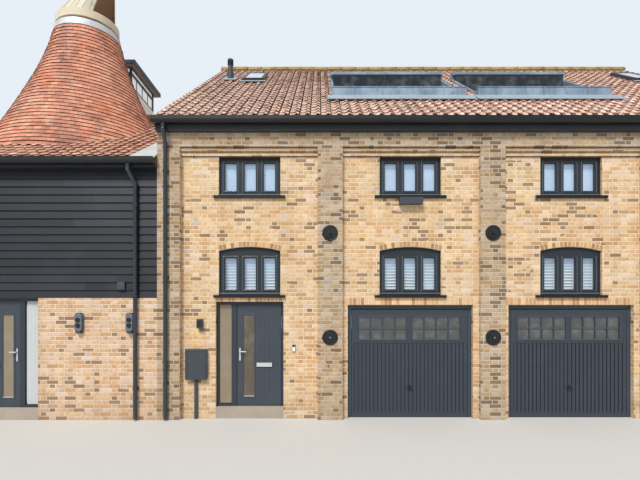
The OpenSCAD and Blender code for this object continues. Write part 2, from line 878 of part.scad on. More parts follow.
module upper_window_frames() {
    color([0.28, 0.32, 0.36]) each_bay() window_frame(0, upper_sill, upper_h, 0);
}

module lower_window_frames() {
    color([0.28, 0.32, 0.36]) each_bay() window_frame(0, lower_sill, lower_h, arch_rise);
}

module rear_window_frames() {
    color([0.28, 0.32, 0.36]) at_rear() each_bay() {
        window_frame(0, upper_sill, upper_h, 0);
        window_frame(0, lower_sill, lower_h, arch_rise);
        window_frame(0, ground_sill, upper_h, 0);
    }
}

module window_sills() {
    color([0.20, 0.23, 0.26]) each_bay() {
        for (sill = [upper_sill, lower_sill]) window_sill(0, sill);
        at_rear() for (sill = [upper_sill, lower_sill, ground_sill]) window_sill(0, sill);
    }
}

module window_glass() {
    color([0.55, 0.65, 0.72, 0.5]) {
        each_bay() for (side = [0, 1]) mirror([0, side, 0]) {
            window_pane(0, upper_sill, upper_h, 0);
            window_pane(0, lower_sill, lower_h, arch_rise);
        }
        each_bay() at_rear() window_pane(0, ground_sill, upper_h, 0);
        for (i = garage_bays)
            translate([terrace_mid(i) - terrace_w / 2 + kerb_t, y_face + terrace_back, attic_floor])
                cube([terrace_w - 2 * kerb_t, glass_t, under_rafters(depth / 2 - terrace_back, range_eaves,
                    range_pitch) - attic_floor]);
    }
}

module window_shutters() {
    color([0.88, 0.89, 0.88]) each_bay() {
        window_shutter(0, upper_sill, upper_h, 0);
        window_shutter(0, lower_sill, lower_h, arch_rise);
    }
}

module pattress_plates() {
    color([0.09, 0.09, 0.10]) for (side = [0, 1]) mirror([0, side, 0])
        for (i = [1:bays - 1]) for (z = [plate_low, plate_high])
            translate([pier_mid(i), y_face, z]) rotate([90, 0, 0]) {
                cylinder(r = plate_r, h = 16);
                cylinder(r = plate_r * 0.62, h = 30);
                cylinder(r = 24, h = 62);
            }
}

// Small fixed things on the front: meter boxes, lights, bells, a box under a sill and a louvre vent
module wall_fittings() {
    face = y_face + recess;
    conduit = [60, 40, meter_z];
    lamp = [105, 90, 180];
    bell = [62, 22, 130];
    sill_box = [440, 120, 125];
    louvre = [140, 30, 150];
    wing_lamp = [85, 70, 390];
    color([0.30, 0.33, 0.36]) {
        each_house() {
            meter_x = panel_x(0) + 95;
            translate([meter_x, face - meter_box[1], meter_z]) cube(meter_box);
            translate([meter_x + meter_box[0] * 0.4, face - conduit[1], 0]) cube(conduit);
            translate([panel_mid(0) - window_w / 2 - 405, face - lamp[1], storey_1 - 590]) cube(lamp);
            translate([panel_mid(0) + entrance_w / 2 + 170, face - bell[1], lever_z + bell[2] / 2]) cube(bell);
        }
        translate([panel_mid(1) - sill_box[0] / 2, face - sill_box[1], upper_sill - sill_t - sill_box[2] - 5])
            cube(sill_box);
        translate([x_join - 745, y_face - louvre[1], base_h + 160]) cube(louvre);
        for (x = wing_lamps_x) translate([x_join - x, y_face - wing_lamp[1], base_h - 670]) cube(wing_lamp);
    }
}

module garage_frame(x) {
    upright(x, garage_y, 0, garage_frame_d) difference() {
        translate([-garage_w / 2, 0]) square([garage_w, garage_head]);
        translate([-garage_w / 2 + garage_frame_w, -eps])
            square([garage_w - 2 * garage_frame_w, garage_head - garage_frame_w + eps]);
    }
}

module garage_frames() {
    color([0.28, 0.32, 0.36]) for (i = garage_bays) garage_frame(panel_mid(i));
}

// Channel tracks for the rollers, hung from the floor over them
module garage_track() {
    inner = roller_d + 2 * roller_play;
    outer = inner + 2 * track_wall;
    depth_x = roller_w + 10;
    foot = garage_y + garage_frame_d;
    translate([track_x, foot, spindle_z - outer / 2]) difference() {
        cube([depth_x + track_wall, track_l, outer]);
        translate([-eps, -eps, track_wall]) cube([depth_x + eps, track_l - track_wall + eps, inner]);
    }
    hanger = first_floor - first_floor_t - spindle_z - outer / 2;
    for (y = [0.45, 1]) translate([track_x + depth_x - 20, foot + y * track_l - 40, spindle_z + outer / 2])
        cube([track_wall + 20, 40, hanger]);
}

module garage_tracks() {
    color([0.55, 0.56, 0.58]) for (i = garage_bays) translate([panel_mid(i), 0, 0])
        for (side = [0, 1]) mirror([side, 0, 0]) garage_track();
}

module rollers(x) {
    reach = track_x + roller_w + 2;
    color([0.60, 0.61, 0.62]) translate([x, spindle_y, spindle_z]) rotate([0, 90, 0]) {
        translate([0, 0, -reach]) cylinder(d = spindle_d, h = 2 * reach);
        for (z = [-reach, reach - roller_w]) translate([0, 0, z]) cylinder(d = roller_d, h = roller_w);
    }
}

// Openings for the panes of one group of windows in a garage leaf
module pane_group() {
    pane_w = (pane_group_w - (panes_across - 1) * pane_bar) / panes_across;
    pane_h = (pane_group_h - (panes_up - 1) * pane_bar) / panes_up;
    for (i = [0:panes_across - 1]) for (j = [0:panes_up - 1])
        translate([i * (pane_w + pane_bar), j * (pane_h + pane_bar)]) square([pane_w, pane_h]);
}

// An up-and-over leaf: a ribbed sheet on a frame, two groups of panes, and lugs round the roller spindle
module garage_leaf(x) {
    half = garage_leaf_w / 2;
    stile = 60;
    ribs = floor((garage_leaf_w - 2 * stile) / rib_pitch);
    rib_left = -ribs * rib_pitch / 2;
    color([0.27, 0.31, 0.35]) {
        difference() {
            union() {
                translate([x - half, garage_y, leaf_foot_gap]) cube([garage_leaf_w, leaf_t, garage_leaf_h]);
                for (side = [-1, 1])
                    translate([x + side * (half - lug_inset) - lug_w / 2, garage_y + leaf_t - eps,
                        spindle_z - spindle_d])
                        cube([lug_w, spindle_back + spindle_d + eps, 2 * spindle_d]);
            }
            upright(x, garage_y - eps, 0, leaf_t + 2 * eps)
                for (side = [-1, 1]) translate([side * (pane_group_w / 2 + stile) - pane_group_w / 2, pane_group_z])
                    pane_group();
            for (i = [0:ribs - 1])
                translate([x + rib_left + (i + 0.2) * rib_pitch, garage_y - eps, leaf_foot_gap + stile])
                    cube([rib_pitch * 0.6, rib_depth + eps, rib_top - leaf_foot_gap - stile]);
            translate([x - half - eps, spindle_y, spindle_z]) rotate([0, 90, 0])
                cylinder(d = spindle_d + 2 * pin_gap, h = garage_leaf_w + 2 * eps);
        }
        translate([x, garage_y - 30, 590]) rotate([-90, 0, 0]) cylinder(d = 22, h = 30 + rib_depth);
        translate([x - 55, garage_y - 44, 580]) cube([110, 15, 20]);
    }
}

module entrance_frame(x, y, head) {
    opening_h = head - house_floor - entrance_frame_w;
    light_w = entrance_w - 2 * entrance_frame_w - entrance_post_w - door_w - 2 * door_gap;
    upright(x - entrance_w / 2, y, house_floor, entrance_frame_d) difference() {
        square([entrance_w, head - house_floor]);
        translate([entrance_frame_w, entrance_frame_w]) square([light_w, opening_h - entrance_frame_w]);
        translate([entrance_frame_w + light_w + entrance_post_w, -eps]) square([door_w + 2 * door_gap, opening_h + eps]);
    }
}

// Puts a child at the place of an entrance: 1 and 2 in the range, 3 in the wing
module at_entrance(n) {
    if (n == 1) translate([panel_mid(0), y_face + recess + entrance_in, 0]) children();
    if (n == 2) translate([panel_mid(3), y_face + recess + entrance_in, 0]) mirror([1, 0, 0]) children();
    if (n == 3) translate([x_join - wing_door_x, y_face + entrance_in, 0]) mirror([1, 0, 0]) children();
}

module sidelight(head) {
    light_w = entrance_w - 2 * entrance_frame_w - entrance_post_w - door_w - 2 * door_gap;
    translate([-entrance_w / 2 + entrance_frame_w, entrance_frame_d / 2, house_floor + entrance_frame_w])
        cube([light_w, glass_t, head - house_floor - 2 * entrance_frame_w]);
}

function hinge_z(head, share) = house_floor + share * (head - house_floor) - knuckle_h;

// The fixed half of the hinges: a knuckle seated on the frame's back, with its pin
module frame_knuckles(head) {
    for (share = hinge_heights) translate([hinge_x, hinge_y, hinge_z(head, share)]) {
        cylinder(d = knuckle_d, h = knuckle_h);
        cylinder(d = hinge_pin_d, h = 2 * knuckle_h);
        translate([0, -hinge_back, 0]) cube([door_gap / 2 + 24, hinge_back, knuckle_h]);
    }
}

// The moving half of the hinges: an arm from the leaf's back to a knuckle round the pin
module leaf_knuckles(head) {
    arm = hinge_y - door_in - door_t;
    for (share = hinge_heights)
        translate([hinge_x, hinge_y, hinge_z(head, share) + knuckle_h + 0.5]) difference() {
            union() {
                cylinder(d = knuckle_d, h = knuckle_h);
                translate([-door_gap / 2 - 14, -arm - eps, 0]) cube([14, arm + eps, knuckle_h]);
                translate([-door_gap / 2 - 14, 0, 0]) cube([door_gap / 2 + 14, knuckle_d / 2, knuckle_h]);
            }
            translate([0, 0, -eps]) cylinder(d = hinge_pin_d + 2 * pin_gap, h = knuckle_h + 2 * eps);
        }
}

module entrance_frames() {
    color([0.28, 0.32, 0.36]) for (n = [1:3]) at_entrance(n) {
        head = n == 3 ? base_h : entrance_head;
        entrance_frame(0, 0, head);
        sidelight(head);
        frame_knuckles(head);
    }
}

// A lever handle on its plate, standing out towards -Y
module lever() {
    translate([-18, -10, -125]) cube([36, 10, 250]);
    translate([0, -48, 55]) rotate([-90, 0, 0]) cylinder(d = 20, h = 48);
    translate([-10, -58, 45]) cube([125, 14, 20]);
}

module door_leaf(head) {
    leaf_h = head - house_floor - entrance_frame_w - 2 * door_gap;
    foot = house_floor + door_gap;
    strip_z = foot + 180;
    strip_x = door_leaf_x + strip_edge;
    slot_h = min(strip_h, leaf_h - 2 * 150);
    groove = 14;
    y0 = door_in;
    leaf_knuckles(head);
    difference() {
        translate([door_leaf_x, y0, foot]) cube([door_w, door_t, leaf_h]);
        translate([strip_x, y0 - eps, strip_z]) cube([strip_w, groove + eps, slot_h]);
        translate([strip_x, y0 + door_t - groove, strip_z]) cube([strip_w, groove + eps, slot_h]);
        for (i = [1:4]) translate([strip_x + strip_w + i * 95, y0 - eps, strip_z]) cube([8, 4 + eps, slot_h]);
    }
    translate([door_leaf_x + 55, y0, foot + lever_up]) lever();
    translate([door_leaf_x + 55, y0 + door_t, foot + lever_up]) mirror([0, 1, 0]) lever();
    translate([strip_x + strip_w + 45, y0 - 12, foot + 760]) cube([letter_w, 12 + eps, 80]);
}

module entrance_1_leaf() {
    color([0.26, 0.30, 0.34]) at_entrance(1) door_leaf(entrance_head);
}

module entrance_2_leaf() {
    color([0.26, 0.30, 0.34]) at_entrance(2) door_leaf(entrance_head);
}

module wing_entrance_leaf() {
    color([0.26, 0.30, 0.34]) at_entrance(3) door_leaf(base_h);
}

module wing_base_walls() {
    inner_w = wing_w - end_t;
    color([0.76, 0.63, 0.43]) {
        difference() {
            translate([x_left + end_t, y_face, 0]) cube([inner_w, base_t, base_h]);
            translate([x_join - wing_door_x - entrance_w / 2, y_face - eps, -eps])
                cube([entrance_w, base_t + 2 * eps, base_h + 2 * eps]);
        }
        at_rear() translate([x_left + end_t, y_face, 0]) cube([inner_w, base_t, base_h]);
    }
}

// A wall of lapped boards: each board is a wedge, thick at its foot
module boarded_wall() {
    boards = ceil((wing_eaves - base_h) / board_h);
    difference() {
        translate([x_left + end_t, y_face, 0]) rotate([90, 0, 90]) linear_extrude(wing_w - end_t) polygon(concat(
            [for (i = [0:boards - 1]) for (side = [0, 1])
                [side * board_lap, base_h + (i + side) * board_h]],
            [[board_lap + stud_t, base_h + boards * board_h], [board_lap + stud_t, base_h]]
        ));
        over_rafters(x_left, x_join + eps, wing_eaves, wing_pitch);
    }
}

module wing_boarding() {
    color([0.13, 0.14, 0.17]) for (side = [0, 1]) mirror([0, side, 0]) boarded_wall();
}

module wing_end_wall() {
    color([0.74, 0.60, 0.42]) end_wall(x_left, wing_eaves, wing_pitch, 0);
}

module wing_first_floor() {
    color([0.70, 0.60, 0.45]) difference() {
        translate([x_left + end_t, y_face + board_lap + stud_t, base_h])
            cube([wing_w - end_t, depth - 2 * (board_lap + stud_t), first_floor_t]);
        translate(kiln_axis) cylinder(r = kiln_r + 3 * seat_gap, h = high);
    }
}

// The space that the kiln takes up where it passes through the wing's roof
module kiln_passage() {
    grow = tile_step + 10;
    translate(kiln_axis) {
        cylinder(r = kiln_r + 2, h = cone_foot - 10);
        rotate_extrude() polygon(concat(
            [[0, cone_foot - 12]],
            [for (i = [0:8]) cone_point(i / 8) + [grow, i == 0 ? -12 : 0]],
            [[0, cone_top]]
        ));
    }
}

module lantern_space(inset, z0, z1) {
    translate([x_join - lantern_x - lantern_w + inset, -lantern_d / 2 + inset, z0])
        cube([lantern_w - 2 * inset, lantern_d - 2 * inset, z1 - z0]);
}

// The front slope of the wing's roof: it carries no tiles beside the range
module wing_slope() {
    difference() {
        union() {
            roof_slope(x_left, x_join - lead_gutter_w, wing_eaves, wing_pitch);
            translate([x_join - lead_gutter_w - eps, 0, 0]) rotate([90, 0, 90])
                linear_extrude(lead_gutter_w + eps) polygon([
                    [-rafter_run, under_rafters(rafter_run, wing_eaves, wing_pitch)],
                    [-rafter_run, under_tiles(rafter_run, wing_eaves, wing_pitch)],
                    [0, under_tiles(0, wing_eaves, wing_pitch)],
                    [0, under_rafters(0, wing_eaves, wing_pitch)]
                ]);
        }
        lantern_space(lantern_t, 0, high);
    }
}

module wing_roof_front() {
    color([0.73, 0.46, 0.36]) difference() {
        wing_slope();
        kiln_passage();
    }
}

module wing_roof_rear() {
    color([0.72, 0.46, 0.36]) at_rear() wing_slope();
}

// A lead-lined gutter beside the range's gable, from the ridge to the eaves
module lead_gutter() {
    eaves_z = under_tiles(eaves_run, wing_eaves, wing_pitch);
    ridge_z = under_tiles(0, wing_eaves, wing_pitch);
    lead_v = lead_t / cos(wing_pitch);
    color([0.66, 0.69, 0.72]) for (side = [0, 1]) mirror([0, side, 0])
        translate([x_join - lead_gutter_w, 0, 0]) rotate([90, 0, 90]) linear_extrude(lead_gutter_w) polygon([
            [-eaves_run, eaves_z],
            [-eaves_run, eaves_z + lead_v],
            [-ridge_r, ridge_z + lead_v - ridge_r * tan(wing_pitch)],
            [-ridge_r, ridge_z - ridge_r * tan(wing_pitch)]
        ]);
}

// One segment of the kiln's wall, centred on an angle
module kiln_segment(angle, foot, top) {
    half = 180 / kiln_segments;
    translate(kiln_axis) rotate([0, 0, angle - half]) translate([0, 0, foot])
        rotate_extrude(angle = 2 * half - joint_angle, $fn = 96)
            translate([kiln_r - kiln_t, 0]) square([kiln_t, top - foot]);
}

module kiln_wall() {
    color([0.72, 0.55, 0.40]) for (i = [0:kiln_segments - 1])
        kiln_segment(i * 360 / kiln_segments, i == 0 ? kiln_doorway_h : 0, cone_foot - seat_gap);
}

// The cone: every course of plain tiles steps out a little over the one below
module kiln_cone() {
    color([0.76, 0.40, 0.25]) translate(kiln_axis) rotate_extrude($fn = 96) polygon(concat(
        [for (i = [0:cone_courses - 1]) for (end = [0, 1])
            cone_point((i + end) / cone_courses) + [end == 0 ? tile_step : 0, 0]],
        [for (i = [8:-1:0]) cone_point(i / 8) - [cone_t, 0]]
    ));
}

module kiln_collar() {
    color([0.72, 0.74, 0.77]) translate(kiln_axis) rotate_extrude($fn = 96) polygon([
        [cone_top_r - 95, cone_top],
        [cone_top_r + 14, cone_top],
        [cone_top_r - 25, collar_top],
        [cone_top_r - 95, collar_top]
    ]);
}

module cowl_spindle() {
    reach = cone_top_r - 40;
    color([0.35, 0.28, 0.22]) translate(kiln_axis) {
        for (angle = [45, 135]) rotate([0, 0, angle]) translate([-reach, -40, collar_top])
            cube([2 * reach, 80, beam_h]);
        translate([0, 0, collar_top - 500]) cylinder(d = cowl_pin_d, h = cowl_pin_top - collar_top + 500);
    }
}

module cowl_hub(z, h) {
    translate([0, 0, z]) cylinder(d = cowl_pin_d + 2 * hub_wall, h = h);
}

// The cowl's curb, with the bars, back post and two bearings that it turns on
module cowl_frame() {
    bar_z = curb_z + 30;
    post_foot = curb_z + curb_h * 0.65;
    post_end = cowl_z + cowl_h * 0.85;
    color([0.90, 0.89, 0.84]) translate(kiln_axis) difference() {
        union() {
            translate([0, 0, curb_z]) difference() {
                cylinder(r = curb_r, h = curb_h, $fn = 96);
                translate([0, 0, -eps]) cylinder(r = curb_r - curb_t, h = curb_h + 2 * eps, $fn = 96);
            }
            for (angle = [0, 90]) rotate([0, 0, angle]) translate([-curb_r + 10, -35, bar_z])
                cube([2 * curb_r - 20, 70, 60]);
            cowl_hub(bar_z - 10, 90);
            cowl_hub(cowl_pin_top - 110, 140);
            translate([post_x(cowl_pin_top - 40), -25, cowl_pin_top - 70])
                cube([-post_x(cowl_pin_top - 40) - cowl_pin_d / 2 - 5, 50, 60]);
            pipe([post_x(post_foot), 0, post_foot], [post_x(post_end), 0, post_end], post_d);
        }
        translate([0, 0, curb_z - eps]) cylinder(d = cowl_pin_d + 2 * pin_gap, h = cowl_pin_top - curb_z + eps + 0.3);
    }
}

module cowl_cone(inset, rise) {
    hull() {
        translate([0, 0, cowl_z - rise]) cylinder(r = cowl_r - inset, h = eps + rise, $fn = 56);
        translate([cowl_lean, 0, cowl_z + cowl_h - inset - eps]) cylinder(r = cowl_top_r - inset, h = eps, $fn = 56);
    }
}

// The leaning boarded shell with its mouth on one side
module cowl_shell() {
    color([0.93, 0.92, 0.87]) translate(kiln_axis) difference() {
        cowl_cone(0, 0);
        cowl_cone(cowl_t, 20);
        translate([0, curb_r * 2, 0]) rotate([90, 0, 0]) linear_extrude(curb_r * 4) polygon([
            [mouth_foot, cowl_z - eps],
            [mouth_top, cowl_z + cowl_h + eps],
            [curb_r * 2, cowl_z + cowl_h + eps],
            [curb_r * 2, cowl_z - eps]
        ]);
    }
}

module lantern_walls() {
    foot = wing_top(lantern_d / 2) - 300;
    color([0.90, 0.90, 0.88]) difference() {
        lantern_space(0, foot, lantern_sill);
        lantern_space(lantern_t, foot - eps, lantern_sill + eps);
        roof_core(x_left, x_join, wing_eaves, wing_pitch);
    }
}

module lantern_glazing() {
    bar = 60;
    color([0.25, 0.28, 0.32]) difference() {
        lantern_space(10, lantern_sill + seat_gap, lantern_head - seat_gap);
        lantern_space(bar, lantern_sill - eps, lantern_head + eps);
        for (z = [lantern_sill + bar, lantern_head - 180 + bar / 2]) {
            h = z < lantern_head - 200 ? lantern_head - 180 - bar / 2 - z : lantern_head - bar / 2 - z;
            translate([x_join - lantern_x - lantern_w + bar + 10, -lantern_d, z])
                cube([lantern_w - 2 * bar - 20, 2 * lantern_d, h]);
            translate([x_join - lantern_x - 2 * lantern_w, -lantern_d / 2 + bar + 10, z])
                cube([3 * lantern_w, lantern_d - 2 * bar - 20, h]);
        }
    }
}

module lantern_roof() {
    color([0.33, 0.35, 0.37]) lantern_space(-lantern_eaves, lantern_head, lantern_head + lantern_roof_t);
}

range_front_lower_wall();
range_front_upper_wall();
range_rear_wall();
range_gable_wall();
range_party_wall();
opening_lintels();
window_arches();
entrance_thresholds();
ground_slabs();
range_floors();
range_roof_front();
range_roof_rear();
ridge_tiles();
eaves_boards();
gutters();
downpipes();
roof_vent_pipe();
rooflights();
terrace_leadwork();
terrace_screens();
upper_window_frames();
lower_window_frames();
rear_window_frames();
window_sills();
window_glass();
window_shutters();
pattress_plates();
wall_fittings();
garage_frames();
garage_tracks();
rollers(panel_mid(garage_bays[0]));  // garage_1_rollers
garage_leaf(panel_mid(garage_bays[0]));  // garage_1_leaf
rollers(panel_mid(garage_bays[1]));  // garage_2_rollers
garage_leaf(panel_mid(garage_bays[1]));  // garage_2_leaf
entrance_frames();
entrance_1_leaf();
entrance_2_leaf();
wing_entrance_leaf();
wing_base_walls();
wing_boarding();
wing_end_wall();
wing_first_floor();
wing_roof_front();
wing_roof_rear();
lead_gutter();
kiln_wall();
kiln_cone();
kiln_collar();
cowl_spindle();
cowl_frame();
cowl_shell();
lantern_walls();
lantern_glazing();
lantern_roof();
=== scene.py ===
"""Looks of the oast house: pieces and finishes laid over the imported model."""

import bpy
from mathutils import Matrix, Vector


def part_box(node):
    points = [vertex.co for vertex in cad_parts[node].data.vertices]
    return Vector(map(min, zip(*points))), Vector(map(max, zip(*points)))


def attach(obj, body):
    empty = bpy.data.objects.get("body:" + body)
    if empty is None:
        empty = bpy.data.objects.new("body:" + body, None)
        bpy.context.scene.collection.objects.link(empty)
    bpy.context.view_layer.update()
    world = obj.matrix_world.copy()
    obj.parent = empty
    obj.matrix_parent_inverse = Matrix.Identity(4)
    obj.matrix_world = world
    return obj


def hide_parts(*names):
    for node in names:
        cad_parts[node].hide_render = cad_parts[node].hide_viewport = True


bl_info = {
    "name": "Oast House Looks",
    "version": (1, 0, 0),
    "blender": (4, 5, 0),
    "location": "View3D > Sidebar > Oast House",
    "description": "Dresses the oast house with tiles, bricks, windows, doors and a cowl",
    "category": "Object",
}

import math
import random

import bmesh
import bpy
from bpy.props import FloatProperty, FloatVectorProperty, IntProperty, PointerProperty
from mathutils import Matrix, Vector

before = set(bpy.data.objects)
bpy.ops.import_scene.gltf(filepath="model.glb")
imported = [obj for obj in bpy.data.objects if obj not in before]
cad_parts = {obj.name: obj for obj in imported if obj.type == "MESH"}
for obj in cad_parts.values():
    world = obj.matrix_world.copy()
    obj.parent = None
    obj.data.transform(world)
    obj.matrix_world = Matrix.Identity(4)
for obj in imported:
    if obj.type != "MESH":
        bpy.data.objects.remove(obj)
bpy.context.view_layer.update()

# Places that the pieces share, in metres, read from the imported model
WALL_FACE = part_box("range_front_upper_wall")[0][1]
RANGE_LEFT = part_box("range_front_upper_wall")[0][0]
RANGE_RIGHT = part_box("range_front_upper_wall")[1][0]
WING_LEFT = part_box("wing_end_wall")[0][0]
ROOF_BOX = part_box("range_roof_front")
WING_ROOF_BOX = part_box("wing_roof_front")
CONE_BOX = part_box("kiln_cone")
KILN_AXIS = Vector(((CONE_BOX[0][0] + CONE_BOX[1][0]) / 2, (CONE_BOX[0][1] + CONE_BOX[1][1]) / 2, 0))
RECESS = 0.112
PANEL_FACE = WALL_FACE + RECESS
BAY_PITCH = 3.105
BAY_0 = RANGE_LEFT + 0.430 + 1.315
BAYS = [BAY_0 + BAY_PITCH * i for i in range(4)]
GARAGE_BAYS = BAYS[1:3]
COURSE = 0.076
CORBEL_FOOT = 5.060
# Grooves of the garage leaves: they start half a rib further on where the count of ribs is odd
RIB = 0.076
GARAGE_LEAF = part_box("garage_1_leaf")
RIB_START = RIB / 2 * (math.floor((GARAGE_LEAF[1][0] - GARAGE_LEAF[0][0] - 0.2) / RIB) % 2)


# Shader maths: a socket that can be used in Python expressions
class Wire:
    """A value or vector socket. Python's operators on it add Math nodes."""

    def __init__(self, paint, socket):
        self.paint = paint
        self.socket = socket

    def math(self, operation, *others, clamp=False):
        return self.paint.node("ShaderNodeMath", {"operation": operation, "use_clamp": clamp}, self, *others)

    def __add__(self, other):
        return self.math("ADD", other)

    def __sub__(self, other):
        return self.math("SUBTRACT", other)

    def __rsub__(self, other):
        return self.paint.node("ShaderNodeMath", {"operation": "SUBTRACT"}, other, self)

    def __mul__(self, other):
        return self.math("MULTIPLY", other)

    def __truediv__(self, other):
        return self.math("DIVIDE", other)

    def __pow__(self, other):
        return self.math("POWER", other)

    def clamped(self):
        return self.math("ADD", 0, clamp=True)

    def floor(self):
        return self.math("FLOOR")

    def size(self):
        return self.math("ABSOLUTE")

    def wrap(self, low, high):
        return self.math("WRAP", high, low)

    def over(self, edge):
        return self.math("GREATER_THAN", edge)

    def under(self, edge):
        return self.math("LESS_THAN", edge)

    def lower_of(self, other):
        return self.math("MINIMUM", other)

    def higher_of(self, other):
        return self.math("MAXIMUM", other)

    def rise(self, low, high, to_low=0.0, to_high=1.0):
        """Smooth step from to_low to to_high as the value goes from low to high."""
        return self.paint.node("ShaderNodeMapRange", {"interpolation_type": "SMOOTHSTEP"}, self, low, high,
                               to_low, to_high)

    def parts(self):
        """The X, Y and Z of a vector."""
        return self.paint.node("ShaderNodeSeparateXYZ", {}, self, every=True)


class Paint:
    """One material under construction, ending in a principled shader."""

    def __init__(self, name):
        self.material = bpy.data.materials.new(name)
        self.material.use_nodes = True
        self.tree = self.material.node_tree
        self.tree.nodes.clear()
        self.output = self.tree.nodes.new("ShaderNodeOutputMaterial")
        self.colour = None

    def node(self, kind, settings, *values, every=False, out=0, **named):
        """Adds a node: its settings first, then the values or links of its sockets."""
        made = self.tree.nodes.new(kind)
        for key, value in settings.items():
            setattr(made, key, value)
        pairs = list(zip(made.inputs, values))
        pairs += [(made.inputs[key.replace("_", " ")], value) for key, value in named.items()]
        for socket, value in pairs:
            if isinstance(value, Wire):
                self.tree.links.new(value.socket, socket)
            else:
                socket.default_value = value
        if every:
            return [Wire(self, socket) for socket in made.outputs]
        return Wire(self, made.outputs[out])

    def place(self):
        """Place on the object, in metres."""
        return self.node("ShaderNodeTexCoord", {}, out=3)

    def normal(self):
        """Direction that the surface faces on the object."""
        return self.node("ShaderNodeTexCoord", {}, out=1)

    def vector(self, x, y, z):
        return self.node("ShaderNodeCombineXYZ", {}, x, y, z)

    def noise(self, where, scale, detail=3.0, roughness=0.5, stretch=None):
        """Noise of a size, stretched along the axes where asked."""
        if stretch:
            where = self.node("ShaderNodeMapping", {}, Vector=where, Scale=stretch)
        return self.node("ShaderNodeTexNoise", {}, Vector=where, Scale=scale, Detail=detail,
                         Roughness=roughness)

    def patches(self, where, scale, detail, low, high, share, **shape):
        """Noise as patches of a share, from nothing where it is low to all of it where it is high."""
        return self.noise(where, scale, detail, **shape).rise(low, high) * share

    def random(self, x, y, z):
        """A random value for each whole-number place."""
        return self.node("ShaderNodeTexWhiteNoise", {"noise_dimensions": "3D"}, Vector=self.vector(x, y, z))

    def blend(self, share, a, b, how="MIX"):
        """Mixes two colours."""
        made = self.tree.nodes.new("ShaderNodeMix")
        made.data_type = "RGBA"
        made.blend_type = how
        for socket, value in ((made.inputs[0], share), (made.inputs[6], a), (made.inputs[7], b)):
            if isinstance(value, Wire):
                self.tree.links.new(value.socket, socket)
            else:
                socket.default_value = (*value[:3], 1.0) if hasattr(value, "__len__") else value
        return Wire(self, made.outputs[2])

    def lay(self, share, colour, how="MIX"):
        """Lays a share of a colour over what is there."""
        self.colour = self.blend(share, self.colour, colour, how)

    def ramp(self, value, stops):
        """A colour for each value, from stops of (place, colour)."""
        made = self.tree.nodes.new("ShaderNodeValToRGB")
        ramp = made.color_ramp
        while len(ramp.elements) < len(stops):
            ramp.elements.new(0.5)
        for element, (place, colour) in zip(ramp.elements, stops):
            element.position = place
            element.color = (*colour[:3], 1.0)
        self.tree.links.new(value.socket, made.inputs[0])
        return Wire(self, made.outputs[0])

    def finish(self, roughness, height=None, distance=0.002, strength=1.0, **named):
        """Ends the material in a principled shader, with bumps from a height where there is one."""
        if height is not None:
            named["Normal"] = self.node("ShaderNodeBump", {}, Strength=strength, Distance=distance,
                                        Height=height)
        surface = self.node("ShaderNodeBsdfPrincipled", {}, Base_Color=self.colour, Roughness=roughness,
                            **named)
        self.tree.links.new(surface.socket, self.output.inputs["Surface"])
        return self.material


def shade(red, green, blue):
    """A colour as it looks on a screen, from 0 to 255, as the shader's numbers."""
    parts = (value / 255 for value in (red, green, blue))
    return tuple(((v + 0.055) / 1.055) ** 2.4 if v > 10 / 255 else v / 12.92 for v in parts)


def stops(*rows):
    """Stops of a ramp, from rows of (place, red, green, blue)."""
    return [(place, shade(*colour)) for place, *colour in rows]


def darker(colour, share):
    """A share of a colour, or more than all of it."""
    return tuple(min(1.0, c * share) for c in colour)


BRICK_STOPS = stops((0.0, 168, 134, 102), (0.12, 198, 158, 114), (0.3, 218, 176, 126), (0.5, 230, 195, 148),
                    (0.68, 228, 196, 160), (0.84, 240, 210, 164), (0.94, 220, 172, 120), (1.0, 240, 200, 132))
MORTAR = shade(244, 230, 208)
STRETCHER, HEADER = 0.225, 0.1125


